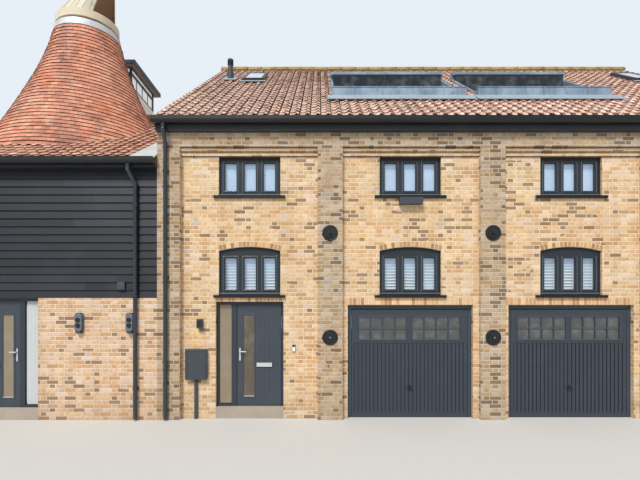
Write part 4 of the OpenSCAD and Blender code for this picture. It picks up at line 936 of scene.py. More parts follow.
class RoofSettings(bpy.types.PropertyGroup):
    """Sizes of the tiles."""

    gauge: FloatProperty(name="Cone gauge", description="Height of one course of plain tiles on the cone",
                         default=0.1006, min=0.06, max=0.2, subtype="DISTANCE", unit="LENGTH")
    tile_width: FloatProperty(name="Plain tile width", description="Width of a plain tile on the cone",
                              default=0.168, min=0.1, max=0.3, subtype="DISTANCE", unit="LENGTH")
    seed: IntProperty(name="Laying seed", description="Start of the small random differences between tiles",
                      default=7, min=0)


def free_bands(along, up, holes):
    """Rectangles that cover a slope but leave the holes free."""
    x0, x1 = along
    edges = sorted({up[0], up[1], *(min(max(s, up[0]), up[1]) for hole in holes for s in hole[2:])})
    bands = []
    for low, high in zip(edges, edges[1:]):
        if high - low < 0.02:
            continue
        middle, start, spans = (low + high) / 2, x0, []
        for left, right, *_ in sorted(h for h in holes if h[2] < middle < h[3]):
            if left - start > 0.02:
                spans.append((start, left))
            start = max(start, right)
        if x1 - start > 0.02:
            spans.append((start, x1))
        if bands and bands[-1][0] == spans:
            bands[-1][2] = high
        else:
            bands.append([spans, low, high])
    return [(span, (low, high)) for spans, low, high in bands for span in spans]


def pantiled(part, slope, along, holes, seed, paint="pantiles", keep=None):
    """All pantiles of one slope as one piece."""
    name = part + "_pantiles"
    up = (ROW_START, slope.length - 0.02)
    piece = joined([tile_field(slope, span, rise, f"{name}_{number}", seed + number)
                    for number, (span, rise) in enumerate(free_bands(along, up, holes))], name)
    piece.data.transform(slope.matrix())
    if keep:
        pick(piece, lambda face: not keep(face.calc_center_median()))
        bpy.ops.mesh.delete(type="FACE")
        done()
    pick(piece, lambda face: abs(face.normal.x) < 0.9)
    bpy.ops.mesh.faces_shade_smooth()
    done()
    alone(piece)
    bpy.ops.object.shade_smooth_by_angle(angle=math.radians(38))
    placed(piece, paint, stands_for=[part.replace("_", "_roof_")])


CONE_HEIGHT = CONE_BOX[1][2] - CONE_BOX[0][2]
# Foot, pull and top of the cone's curved side: radius and height
CONE_SIDE = ((2.320, CONE_BOX[0][2]), (0.990, CONE_BOX[0][2] + 0.696 * CONE_HEIGHT), (0.800, CONE_BOX[1][2]))


def cone_curve(share):
    """Radius and height of the cone's surface, from its foot to its top."""
    a, b, c = CONE_SIDE
    return tuple(a[i] * (1 - share) ** 2 + 2 * b[i] * share * (1 - share) + c[i] * share ** 2 for i in (0, 1))


def cone_radius(z):
    """Radius of the cone at a height."""
    low, high = 0.0, 1.0
    for _ in range(40):
        middle = (low + high) / 2
        if cone_curve(middle)[1] < z:
            low = middle
        else:
            high = middle
    return cone_curve(low)[0]


# Places of the terraces and rooflights on the range's front slope
TERRACES = (BAYS[1] + 0.035, BAYS[2] + 0.200)
ROOFLIGHTS = (BAYS[0] - 0.450, BAYS[3] + 0.825)
TERRACE_FRONT = WALL_FACE + 1.435
TERRACE_HEAD = -(5.570 - (8.440 - RANGE_SLOPE.eaves.z) / math.tan(RANGE_SLOPE.pitch))
LIGHT_FOOT = RANGE_SLOPE.up(WALL_FACE + 3.340)
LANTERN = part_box("lantern_walls")


class OAST_OT_roof_tiles(bpy.types.Operator):
    """Lays pantiles on the four slopes, with the boards under them"""

    bl_idname = "oast.roof_tiles"
    bl_label = "Pantiles"

    def execute(self, context):
        seed = context.scene.oast_roofs.seed
        verge, gutter = RANGE_LEFT - 0.040, RANGE_LEFT - 0.480
        low, high = RANGE_SLOPE.up(TERRACE_FRONT), RANGE_SLOPE.up(TERRACE_HEAD)
        holes = [(x - 1.5, x + 1.5, low, high) for x in TERRACES]
        holes += [(x - 0.285, x + 0.285, LIGHT_FOOT - 0.01, LIGHT_FOOT + 1.19) for x in ROOFLIGHTS]
        low, high = WING_SLOPE.up(LANTERN[0][1]), WING_SLOPE.length - 0.02 + 1

        def outside_cone(point):
            out = (Vector((point.x, point.y, 0)) - KILN_AXIS).length
            return out > (cone_radius(point.z) if point.z > CONE_BOX[0][2] else 2.25) - 0.02

        left, right = LANTERN[0][0], LANTERN[1][0]
        pantiled("range_front", RANGE_SLOPE, (verge, RANGE_RIGHT), holes, seed)
        pantiled("range_rear", RANGE_REAR, (-RANGE_RIGHT, -verge), [], seed + 40)
        pantiled("wing_front", WING_SLOPE, (WING_LEFT, gutter), [(left, right, low, high)], seed + 60,
                 "wing_pantiles", outside_cone)
        pantiled("wing_rear", WING_REAR, (-gutter, -WING_LEFT), [(-right, -left, low, high)], seed + 80,
                 "wing_pantiles")
        for part, slope in (("range_front", RANGE_SLOPE), ("range_rear", RANGE_REAR),
                            ("wing_front", WING_SLOPE), ("wing_rear", WING_REAR)):
            under_boards(part, slope)
        return {"FINISHED"}


class OAST_OT_ridge_tiles(bpy.types.Operator):
    """Lays half-round tiles along the ridges, bedded in mortar"""

    bl_idname = "oast.ridge_tiles"
    bl_label = "Ridge tiles"

    def execute(self, context):
        seed = context.scene.oast_roofs.seed + 100
        runs = [("range_ridge_tiles", RANGE_LEFT - 0.040, RANGE_RIGHT, RANGE_SLOPE),
                ("wing_left_ridge_tiles", WING_LEFT, LANTERN[0][0], WING_SLOPE),
                ("wing_right_ridge_tiles", LANTERN[1][0], RANGE_LEFT, WING_SLOPE)]
        for number, run in enumerate(runs):
            placed(ridge_run(*run, seed + number), "ridge", stands_for=["ridge_tiles"])
        return {"FINISHED"}


class OAST_OT_cone_tiles(bpy.types.Operator):
    """Hangs plain tiles in half bond round the cone, course over course"""

    bl_idname = "oast.cone_tiles"
    bl_label = "Cone tiles"

    def execute(self, context):
        settings = context.scene.oast_roofs
        chance = random.Random(settings.seed + 200)
        foot, top = CONE_BOX[0][2], CONE_BOX[1][2]
        courses = round(CONE_HEIGHT / settings.gauge)
        gauge = CONE_HEIGHT / courses
        rings = []
        for course in range(-1, courses):
            z = foot + course * gauge
            end = min(z + 0.160, top - 0.002)
            r0, r1 = cone_radius(z) + max(0.0, foot - z) * 0.3, cone_radius(end)
            count = round(2 * math.pi * r0 / settings.tile_width)
            wide = 2 * math.pi * (r0 + 0.016) / count - 0.004
            tile = block(f"cone_course_{course + 1}", (-wide / 2, -r0 - 0.024, z - 0.004),
                         (wide / 2, -r0 - 0.009, end))
            pick(tile, lambda vert: vert.co.z > z + 0.01, "VERT")
            bpy.ops.transform.resize(value=(r1 / r0, 1, 1))
            bpy.ops.transform.translate(value=(0, r0 - r1 + 0.026, 0))
            done()
            half = math.pi / count if course % 2 else 0.0
            tile.data.transform(Matrix.Translation(KILN_AXIS) @ Matrix.Rotation(half + 0.7, 4, "Z"))
            pick(tile)
            bpy.ops.mesh.spin(steps=count - 1, dupli=True, angle=2 * math.pi * (count - 1) / count,
                              center=KILN_AXIS, axis=(0, 0, 1))
            done()
            verts = tile.data.vertices
            for begin in range(0, len(verts), 8):
                out = Vector((verts[begin].co.x, verts[begin].co.y, 0)) - KILN_AXIS
                out.normalize()
                lift, slip = chance.uniform(-0.003, 0.005), chance.uniform(-0.005, 0.004)
                for vert in verts[begin:begin + 8]:
                    if vert.co.z < z + 0.02:
                        vert.co += out * lift
                    if course >= 0:
                        vert.co.z += slip
            rings.append(tile)
        placed(joined(rings, "cone_plain_tiles"), "plain_tiles")
        return {"FINISHED"}


class OAST_OT_finishes(bpy.types.Operator):
    """Makes the finishes and gives every node of the model its own"""

    bl_idname = "oast.finishes"
    bl_label = "Finishes"

    def execute(self, context):
        make_paints()
        for name, nodes in NODE_PAINTS.items():
            for node in nodes.split():
                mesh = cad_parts[node].data
                mesh.materials.clear()
                mesh.materials.append(PAINTS[name])
        return {"FINISHED"}


class OpeningSettings(bpy.types.PropertyGroup):
    """Sizes of what stands in the window and door openings."""

    sash: FloatProperty(name="Sash face", description="Width of a casement's frame seen from the front",
                        default=0.038, min=0.02, max=0.08, subtype="DISTANCE", unit="LENGTH")
    slat: FloatProperty(name="Slat pitch", description="Distance between the slats of a shutter",
                        default=0.058, min=0.03, max=0.1, subtype="DISTANCE", unit="LENGTH")


WINDOW_W = 1.190
LIGHT_W = 0.260
LIGHT_PITCH = 0.375
ARCH_RISE = 0.078
ARCH_RADIUS = ((WINDOW_W / 2) ** 2 + ARCH_RISE ** 2) / (2 * ARCH_RISE)
FRAME_FACE = PANEL_FACE + 0.060
# Turns the front about the middle of the range onto the rear
RANGE_MID = (BAYS[0] + BAYS[3]) / 2
REAR_TURN = Matrix.Translation((RANGE_MID, 0, 0)) @ HALF_TURN @ Matrix.Translation((-RANGE_MID, 0, 0))


def outlined(name, x0, x1, z0, head, y):
    """A flat face in a wall, facing the front. Its head is a height, or head(x) where it follows a curve."""
    piece = strip(name, 8, rotation_euler=(math.pi / 2, 0, 0))
    for vert in piece.data.vertices:
        x = x0 + (vert.co.x + 0.5) * (x1 - x0)
        top = head(x) if callable(head) else head
        vert.co = (x, y, z0 if vert.co.z < 0 else top)
    return piece


def framed(name, x0, x1, z0, head, y, width, depth, bevel=0.004):
    """A frame with that outline: the face is inset, its middle goes and the rest gets its depth."""
    piece = outlined(name, x0, x1, z0, head, y)
    pick(piece)
    bpy.ops.mesh.inset(thickness=width, use_boundary=True)
    bpy.ops.mesh.delete(type="FACE")
    bpy.ops.mesh.select_all(action="SELECT")
    bpy.ops.mesh.extrude_region_move(TRANSFORM_OT_translate={"value": (0, depth, 0)})
    bpy.ops.mesh.select_all(action="SELECT")
    bpy.ops.mesh.normals_make_consistent(inside=False)
    done()
    soften(piece, bevel, 2)
    return piece


def arch_head(mid, top, inset):
    """Height of an arched head at a place along the wall."""
    return lambda x: top - ARCH_RADIUS + math.sqrt((ARCH_RADIUS - inset) ** 2 - (x - mid) ** 2)


def casements(mid, sill, top, sash, name):
    """Three casements in a window, each with its bead."""
    made = []
    out, frame_width = 0.022, 0.090
    for light in (-1, 0, 1):
        x = mid + light * LIGHT_PITCH
        half = LIGHT_W / 2 + out
        made.append(framed(f"{name}_{light}", x - half, x + half, sill + frame_width - out,
                           top - (frame_width - out), FRAME_FACE - 0.012, sash, 0.046))
        half = LIGHT_W / 2 - 0.012
        made.append(framed(f"{name}_bead_{light}", x - half, x + half, sill + 0.102, top - 0.104,
                           FRAME_FACE + 0.006, 0.010, 0.030, 0.003))
    return made


def shutter_panels(mid, sill, top, arched, pitch, name):
    """Louvred panels behind the glass: stiles and rails round a stack of tilted slats."""
    made = []
    y = FRAME_FACE + 0.106
    half = LIGHT_PITCH / 2 - 0.004
    head = arch_head(mid, top, 0.012) if arched else lambda x: top - 0.012
    for light in (-1, 0, 1):
        x = mid + light * LIGHT_PITCH
        made.append(framed(f"{name}_{light}", x - half, x + half, sill + 0.012, head, y, 0.050, 0.022, 0.003))
        slat = block(f"{name}_slat_{light}", (x - half + 0.046, y + 0.002, sill + 0.066),
                     (x + half - 0.046, y + 0.020, sill + 0.100))
        pushed(slat, facing_up, (0, 0.008, 0))
        pushed(slat, facing_down, (0, -0.006, 0))
        count = int((min(head(x - half), head(x + half)) - 0.05 - sill - 0.066) / pitch)
        arrayed(slat, count, (0, 0, pitch))
        made.append(slat)
    return made


def repeated(pieces, name):
    """The pieces of the first bay as one, with copies in the other three."""
    first = joined(pieces, name)
    rest = [copied(first, f"{name}_copy_{i}", (x - BAYS[0], 0, 0)) for i, x in enumerate(BAYS[1:])]
    return joined([first, *rest], name)


def both_sides(pieces, row, kind, paint):
    """Ends a row of pieces on the front and its copy on the rear."""
    piece = joined(pieces, f"{row}_front_{kind}")
    placed(copied(piece, f"{row}_rear_{kind}", turn=REAR_TURN), paint)
    placed(piece, paint)


class OAST_OT_windows(bpy.types.Operator):
    """Hangs casements in the frames and louvred shutters behind the glass"""

    bl_idname = "oast.windows"
    bl_label = "Windows"

    def execute(self, context):
        settings = context.scene.oast_openings
        for name in ("upper", "lower"):
            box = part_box(f"{name}_window_frames")
            sill, top = box[0][2], box[1][2]
            arched = name == "lower"
            # The casements are straight-headed everywhere: an arched piece fills the head over the lower ones
            flat_top = top - 0.106 if arched else top
            front = casements(BAYS[0], sill, flat_top, settings.sash, f"{name}_casement")
            both_sides([repeated(front, name)], name, "casements", "sashes")
            seals, drips, heads = [], [], []
            for i, x in enumerate(BAYS):
                x0, x1 = x - WINDOW_W / 2, x + WINDOW_W / 2
                # A drip bar at each window's foot, pale also as a painted highlight
                drips.append(block(f"{name}_drip_{i}", (x0 + 0.004, FRAME_FACE - 0.016, sill + 0.028),
                                   (x1 - 0.004, FRAME_FACE + 0.002, sill + 0.044), 0.003))
                curve = arch_head(x, top, 0.001) if arched else top - 0.001
                if arched:
                    head = outlined(f"{name}_head_{i}", x0 + 0.001, x1 - 0.001, top - 0.186, curve,
                                    FRAME_FACE - 0.006)
                    add(head, "SOLIDIFY", thickness=0.020, offset=-1)
                    soften(head, 0.003, 2)
                    heads.append(head)
                seals.append(framed(f"{name}_seal_{i}", x0 + 0.001, x1 - 0.001, sill + 0.001, curve,
                                    FRAME_FACE - 0.010, 0.020, 0.012, 0.002))
            both_sides(seals, name, "seals", "iron")
            both_sides(drips, name, "drips", "drip")
            if heads:
                both_sides(heads, name, "heads", "window_frames")
            panels = shutter_panels(BAYS[0], sill, top, arched, settings.slat, f"{name}_shutter")
            placed(repeated(panels, f"{name}_shutters"), "shutters", stands_for=["window_shutters"])
        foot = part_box("rear_window_frames")[0][2]
        row = repeated(casements(BAYS[0], foot, foot + 0.750, settings.sash, "ground_casement"),
                       "ground_rear_casements")
        row.data.transform(REAR_TURN)
        placed(row, "sashes")
        return {"FINISHED"}


class OAST_OT_garages(bpy.types.Operator):
    """Glazes the garage leaves, and gives each a trim, a handle and a weather strip"""

    bl_idname = "oast.garages"
    bl_label = "Garage doors"

    def execute(self, context):
        face = PANEL_FACE + 0.083
        pane_width, grip_z = 0.925, 0.590
        for number, x in enumerate(GARAGE_BAYS, 1):
            low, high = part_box(f"garage_{number}_leaf")
            trims, panes, edges = [], [], []
            for side in (-1, 1):
                left = x + side * (pane_width / 2 + 0.060) - pane_width / 2
                trims.append(framed(f"garage_trim_{side}", left - 0.035, left + 0.960, 1.490, 1.990,
                                    face - 0.008, 0.030, 0.012))
                panes.append(block(f"garage_pane_{side}", (left - 0.010, face + 0.018, 1.515),
                                   (left + 0.935, face + 0.024, 1.965), 0.001, 1))
                # Beads along the garage glazing, pale also as painted highlights
                for z in (1.519, 1.738, 1.957):
                    edges.append(block(f"garage_edge_{side}_{z}", (left - 0.004, face - 0.004, z - 0.004),
                                       (left + 0.929, face + 0.012, z + 0.004), 0.002, 1))
            trims.append(framed("garage_edge", low[0] + 0.002, high[0] - 0.002, low[2] + 0.002,
                                low[2] + 2.090, face - 0.005, 0.048, 0.008))
            trims.append(block("garage_rail", (low[0] + 0.050, face - 0.006, 1.452),
                               (high[0] - 0.050, face + 0.006, 1.482), 0.003))
            stem = rod("garage_stem", (x, face - 0.046, grip_z), (x, face + 0.004, grip_z), 0.009)
            plate = rod("garage_plate", (x, face - 0.006, grip_z), (x, face + 0.004, grip_z), 0.034, 32,
                        0.003)
            grip = block("garage_grip", (x - 0.058, face - 0.060, grip_z - 0.011),
                         (x + 0.058, face - 0.042, grip_z + 0.011), 0.006, 3)
            gathered([(f"garage_{number}_trim", trims, "garage", "garage_grey"),
                      (f"garage_{number}_panes", panes, "garage_glass", "glass"),
                      (f"garage_{number}_bead_edges", edges, "drip", "garage_grey"),
                      (f"garage_{number}_handle", [stem, plate, grip], "iron", "black_iron")],
                     f"garage_{number}_door")
        return {"FINISHED"}


class OAST_OT_entrances(bpy.types.Operator):
    """Glazes the strips in the entrance leaves, and fits levers and letter plates"""

    bl_idname = "oast.entrances"
    bl_label = "Entrances"

    def execute(self, context):
        units = [("entrance_1_leaf", "entrance_1_door", PANEL_FACE, 1),
                 ("entrance_2_leaf", "entrance_2_door", PANEL_FACE, -1),
                 ("wing_entrance_leaf", "wing_door", WALL_FACE, -1)]
        for number, (node, body, wall, sign) in enumerate(units, 1):
            low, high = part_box(node)
            name = f"entrance_{number}"
            face, foot = wall + 0.088, 0.228
            lock = high[0] if sign < 0 else low[0]

            def across(a, b):
                """Two places measured from the lock edge, as low and high X."""
                return sorted((lock + sign * a, lock + sign * b))

            def fitting(part, places, y, z, bevel=0.008, segments=3):
                """A block between two places from the lock edge, two from the leaf's face and two heights."""
                x0, x1 = across(*places)
                return block(part, (x0, face + y[0], z[0]), (x1, face + y[1], z[1]), bevel, segments)

            z0 = foot + 0.180
            z1 = z0 + min(1.590, high[2] - foot - 0.300)
            g0, g1 = across(0.125, 0.335)
            placed(framed(f"{name}_strip_trim", g0 - 0.022, g1 + 0.022, z0 - 0.022, z1 + 0.022, face - 0.006,
                          0.026, 0.012, 0.003), "door", body)
            pane = fitting(f"{name}_strip", (0.127, 0.333), (0.006, 0.014), (z0 + 0.002, z1 - 0.002),
                           0.002, 1)
            placed(pane, "amber_glass" if number == 3 else "frosted_glass", body)
            z = foot + 1.000
            plate = fitting("lever_plate", (0.037, 0.073), (-0.012, 0.002), (z - 0.125, z + 0.125))
            grip = fitting("lever_grip", (0.045, 0.182), (-0.062, -0.044), (z + 0.043, z + 0.067))
            x = lock + sign * 0.055
            stem = rod("lever_stem", (x, face - 0.050, z + 0.055), (x, face, z + 0.055), 0.012)
            keyhole = rod("lever_cylinder", (x, face - 0.017, z - 0.055), (x, face, z - 0.055), 0.011)
            bead = fitting(f"{name}_strip_foot", (0.127, 0.333), (-0.008, 0.008), (z0 - 0.002, z0 + 0.010),
                           0.002, 1)
            letter = fitting(f"{name}_letter_plate", (0.380, 0.680), (-0.026, 0.002),
                             (foot + 0.762, foot + 0.838), 0)
            pushed(letter, lambda poly: poly.normal.y < -0.9, (0, 0.004, 0), inset=0.012)
            soften(letter, 0.003, 2)
            gathered([(f"{name}_lever", [plate, grip, stem, keyhole], "bright", "zinc"),
                      (f"{name}_strip_foot", [bead], "bright", "zinc"),
                      (f"{name}_letter_plate", [letter], "bright", "zinc")], body)
        return {"FINISHED"}


class OAST_OT_sidelights(bpy.types.Operator):
    """Glazes the sidelights of the entrances, with beads, and hangs a curtain behind the wing's"""

    bl_idname = "oast.sidelights"
    bl_label = "Sidelights"

    def execute(self, context):
        units = [(BAYS[0], PANEL_FACE, 2.255, 1), (BAYS[3], PANEL_FACE, 2.255, -1),
                 (RANGE_LEFT - 2.920, WALL_FACE, 2.320, -1)]
        beads = []
        for number, (mid, wall, head, sign) in enumerate(units, 1):
            x0, x1 = sorted((mid - sign * 0.610, mid - sign * 0.353))
            y = wall + 0.078
            z0, z1 = 0.265, head - 0.045
            beads.append(framed(f"sidelight_bead_{number}", x0, x1, z0, z1, y + 0.012, 0.014, 0.020, 0.003))
            if number < 3:
                pane = block(f"sidelight_{number}", (x0 + 0.002, y + 0.026, z0 + 0.002),
                             (x1 - 0.002, y + 0.034, z1 - 0.002), 0.002, 1)
                placed(pane, "amber_glass")
                continue
            cloth = outlined("wing_curtain", x0 + 0.004, x1 - 0.004, z0 + 0.004, z1 - 0.004, y + 0.030)
            pushed(cloth, lambda vert: round((vert.co.x - x0) / (x1 - x0) * 8) % 2 == 1, (0, -0.010, 0),
                   "VERT")
            add(cloth, "SUBSURF", levels=2, render_levels=2)
            alone(cloth)
            bpy.ops.object.shade_smooth()
            placed(cloth, "curtain")
        gathered([("sidelight_beads", beads, "frames", "grey_frames")])
        return {"FINISHED"}


def slab(name, along, up, out, bevel=0.003):
    """A flat piece on the range's front slope, between places along it, up it and out of it."""
    piece = block(name, (along[0], up[0], out[0]), (along[1], up[1], out[1]), bevel)
    piece.data.transform(RANGE_SLOPE.matrix())
    return piece


class OAST_OT_leadwork(bpy.types.Operator):
    """Glazes the terraces, and dresses lead in front of their kerbs, round the vent and over the kerb tops"""

    bl_idname = "oast.leadwork"
    bl_label = "Terraces and lead"

    def execute(self, context):
        low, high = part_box("terrace_screens")
        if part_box("terrace_leadwork")[1][2] < high[2]:
            raise RuntimeError("The lead roof is lower than the screens")
        kerb_z = RANGE_SLOPE.eaves.z - 0.074 + 1.380
        face = low[1]
        panes, tracks, sheets, rolls = [], [], [], []
        apron = RANGE_SLOPE.up(WALL_FACE + 1.060)
        half = 1.440
        pitch = half / 2
        for number, x in enumerate(TERRACES):
            for i in range(4):
                left = x - half + i * pitch
                panes.append(block(f"terrace_pane_{number}_{i}", (left + 0.006, face - 0.022, low[2] + 0.050),
                                   (left + pitch - 0.006, face - 0.010, high[2] - 0.035), 0.002, 1))
            tracks.append(block(f"terrace_track_{number}", (x - half, face - 0.034, high[2] - 0.040),
                                (x + half, face, high[2] - 0.002), 0.003))
            sheets.append(slab(f"terrace_apron_{number}", (x - 1.62, x + 1.62),
                               (apron, RANGE_SLOPE.up(TERRACE_FRONT) + 0.02), (0.006, 0.014)))
            sheets.append(slab(f"terrace_apron_edge_{number}", (x - 1.62, x + 1.62),
                               (apron - 0.012, apron + 0.010), (0.0, 0.020), 0.006))
            for i in range(1, 6):
                left, y = x - 1.50 + i * 0.5, TERRACE_FRONT - 0.004
                rolls.append(rod(f"lead_roll_{number}_{i}", (left, y, kerb_z - 0.34),
                                 (left, y, kerb_z - 0.004), 0.012, 12))
            rolls.append(block(f"terrace_cap_{number}", (x - 1.512, TERRACE_FRONT - 0.014, kerb_z - 0.012),
                               (x + 1.512, TERRACE_FRONT + 0.070, kerb_z + 0.006), 0.005))
        gathered([("terrace_panes", panes, "dark_glass", "glass"),
                  ("terrace_tracks", tracks, "frames", "grey_frames")])
        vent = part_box("roof_vent_pipe")
        x, y = (vent[0][0] + vent[1][0]) / 2, (vent[0][1] + vent[1][1]) / 2
        up = RANGE_SLOPE.up(y)
        sheets.append(slab("vent_slate", (x - 0.19, x + 0.19), (up - 0.28, up + 0.20), (0.006, 0.014)))
        rings = []
        for below in (0.055, 0.105, 0.155):
            z = vent[1][2] - below
            rings.append(rod("vent_ring", (x, y, z), (x, y, z + 0.018), 0.083, 32, 0.004))
        gathered([("lead_aprons", sheets, "pale_lead", "lead"), ("terrace_lead_rolls", rolls, "lead", "lead"),
                  ("vent_cowl_rings", rings, "gutter", "black_gutter")])
        return {"FINISHED"}


class OAST_OT_rooflights(bpy.types.Operator):
    """Glazes the rooflights, and adds the lead and the sash round each"""

    bl_idname = "oast.rooflights"
    bl_label = "Rooflights"

    def execute(self, context):
        panes, sashes, skirts = [], [], []
        # Each part: its left and right, its foot and head up the slope, its thickness out of it and its bevel
        parts = [(panes, -0.215, 0.215, 0.070, 1.095, 0.051, 0.056, 0.002),
                 (sashes, -0.279, -0.215, 0.004, 1.176, 0.044, 0.064, 0.005),
                 (sashes, 0.215, 0.279, 0.004, 1.176, 0.044, 0.064, 0.005),
                 (sashes, -0.279, 0.279, 0.002, 0.070, 0.044, 0.066, 0.005),
                 (sashes, -0.279, 0.279, 1.095, 1.178, 0.044, 0.066, 0.005),
                 (skirts, -0.34, 0.34, -0.16, 0.0, 0.004, 0.013, 0.003)]
        for x in ROOFLIGHTS:
            for group, left, right, foot, head, inner, outer, bevel in parts:
                group.append(slab("rooflight_part", (x + left, x + right),
                                  (LIGHT_FOOT + foot, LIGHT_FOOT + head), (inner, outer), bevel))
        gathered([("rooflight_panes", panes, "sky_glass", "glass"),
                  ("rooflight_sashes", sashes, "frames", "grey_frames"),
                  ("rooflight_skirts", skirts, "pale_lead", "lead")])
        return {"FINISHED"}


class OAST_OT_lantern(bpy.types.Operator):
    """Glazes the lantern on the wing's ridge, and adds glazing bars, a cover board and a roof edge"""

    bl_idname = "oast.lantern"
    bl_label = "Lantern"

    def execute(self, context):
        low, high = (Vector(corner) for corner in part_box("lantern_glazing"))
        roof, top = (Vector(corner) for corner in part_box("lantern_roof"))
        panes, bars = [], []
        sill, head = low.z + 0.050, high.z - 0.180
        foot, end = low.z + 0.020, high.z - 0.015
        for side in (-1, 1):
            y = (low.y if side < 0 else high.y) - side * 0.040
            panes.append(block(f"lantern_pane_y{side}", (low.x + 0.050, y - 0.004, foot),
                               (high.x - 0.050, y + 0.004, end)))
            x = (low.x if side < 0 else high.x) - side * 0.040
            panes.append(block(f"lantern_pane_x{side}", (x - 0.004, low.y + 0.050, foot),
                               (x + 0.004, high.y - 0.050, end)))
            for i in (1, 2, 3):
                along, across, _ = low + (high - low) * i / 4
                bars.append(block(f"lantern_bar_x{side}_{i}", (x - 0.016, across - 0.014, sill),
                                  (x + 0.016, across + 0.014, head), 0.003, 1))
                bars.append(block(f"lantern_bar_y{side}_{i}", (along - 0.014, y - 0.016, sill),
                                  (along + 0.014, y + 0.016, head), 0.003, 1))
        gathered([("lantern_panes", panes, "lantern_glass", "glass"),
                  ("lantern_bars", bars, "frames", "grey_frames")])
        edge = block("lantern_roof_edge", (roof.x + 0.004, roof.y + 0.004, top.z - 0.024),
                     (top.x - 0.004, top.y - 0.004, top.z))
        pushed(edge, facing_up, (0, 0, -0.014), inset=0.060)
        soften(edge, 0.006, 2)
        placed(edge, "lead")
        placed(block("lantern_soffit", (roof.x + 0.030, roof.y + 0.030, roof.z - 0.006),
                     (top.x - 0.030, top.y - 0.030, roof.z + 0.004), 0.002, 1), "soffit")
        return {"FINISHED"}


def front_back(edge):
    """Whether an edge runs from front to back."""
    return abs(edge.verts[0].co.y - edge.verts[1].co.y) > 0.01


def rounded(name, low, high, radius, segments, bevel):
    """A block on a wall with rounded corners as seen from the front."""
    piece = block(name, low, high)
    pick(piece, front_back, "EDGE")
    bpy.ops.mesh.bevel(offset=radius, segments=segments)
    done()
    soften(piece, bevel, 2)
    return piece


class OAST_OT_fittings(bpy.types.Operator):
    """Adds the small parts on the walls: plate rings, box doors, lamps, bell covers and louvre slats"""

    bl_idname = "oast.fittings"
    bl_label = "Wall fittings"

    def execute(self, context):
        rings, caps, doors, rims, covers, cases, bells = [], [], [], [], [], [], []
        for bay in (1, 2, 3):
            x = BAYS[bay] - BAY_PITCH / 2
            for z in (1.570, 3.560):
                for turn in (False, True):
                    deselect()
                    bpy.ops.mesh.primitive_torus_add(major_segments=36, minor_segments=8, major_radius=0.132,
                                                     minor_radius=0.007, location=(x, WALL_FACE - 0.018, z),
                                                     rotation=(math.pi / 2, 0, 0))
                    ring = started(f"plate_ring_{bay}_{z}")
                    if turn:
                        ring.data.transform(HALF_TURN)
                        ring.data.transform(Matrix.Translation((2 * x, 0, 0)))
                    rings.append(ring)
                rings.append(rod(f"plate_bolt_{bay}_{z}", (x, WALL_FACE - 0.060, z),
                                 (x, WALL_FACE - 0.030, z), 0.034, 6, 0.003))
                if z < 2:
                    caps.append(rod(f"plate_cap_{bay}", (x, WALL_FACE - 0.068, z), (x, WALL_FACE - 0.055, z),
                                    0.017, 16))
        gathered([("pattress_rings", rings, "iron", "black_iron"), ("pattress_caps", caps, "zinc", "zinc")])
        for number, sign in ((0, 1), (3, -1)):
            mid = BAYS[number]
            x0, x1 = sorted((mid - sign * 1.220, mid - sign * 0.810))
            y, x = PANEL_FACE - 0.096, (x0 + x1) / 2
            doors.append(framed(f"meter_door_{number}", x0 + 0.016, x1 - 0.016, 0.778, 1.322, y,
                                0.024, 0.010, 0.003))
            doors.append(rod(f"meter_lock_{number}", (x, y, 0.830), (x, y + 0.010, 0.830), 0.012, 16))
            x0, x1 = sorted((mid - sign * 0.992, mid - sign * 0.903))
            covers.append(block(f"wall_lamp_{number}", (x0, PANEL_FACE - 0.094, 1.762),
                                (x1, PANEL_FACE - 0.086, 1.900), 0.004))
            x0, x1 = sorted((mid + sign * 0.829, mid + sign * 0.883))
            bells.append(block(f"bell_cover_{number}", (x0, PANEL_FACE - 0.0245, 1.297),
                               (x1, PANEL_FACE - 0.020, 1.378), 0.002))
        for mid in (RANGE_LEFT - 1.4675, RANGE_LEFT - 0.5025):
            cases.append(rounded(f"wing_lamp_plate_{mid}", (mid - 0.085, WALL_FACE - 0.018, 1.655),
                                 (mid + 0.085, WALL_FACE, 2.035), 0.040, 4, 0.004))
            cases.append(rounded(f"wing_lamp_case_{mid}", (mid - 0.066, WALL_FACE - 0.074, 1.690),
                                 (mid + 0.066, WALL_FACE - 0.016, 2.030), 0.050, 5, 0.006))
            for z in (1.800, 1.905):
                rims.append(rod(f"wing_lamp_rim_{mid}_{z}", (mid, WALL_FACE - 0.086, z),
                                (mid, WALL_FACE - 0.070, z), 0.044, 28, 0.004))
        left = RANGE_LEFT - 0.745
        for i in range(5):
            z = 2.494 + i * 0.026
            slat = block(f"louvre_{i}", (left + 0.008, WALL_FACE + 0.080, z),
                         (left + 0.132, WALL_FACE + 0.086, z + 0.018))
            pushed(slat, facing_down, (0, -0.012, 0))
            doors.append(slat)
        placed(joined(doors, "box_doors"), "fittings")
        placed(joined(bells, "bell_covers"), "render")
        gathered([("wing_lamp_rims", rims, "iron", "black_iron"),
                  ("wing_lamp_cases", cases, "lamp", "grey_fittings"),
                  ("wall_lamp_covers", covers, "iron", "black_iron")])
        return {"FINISHED"}


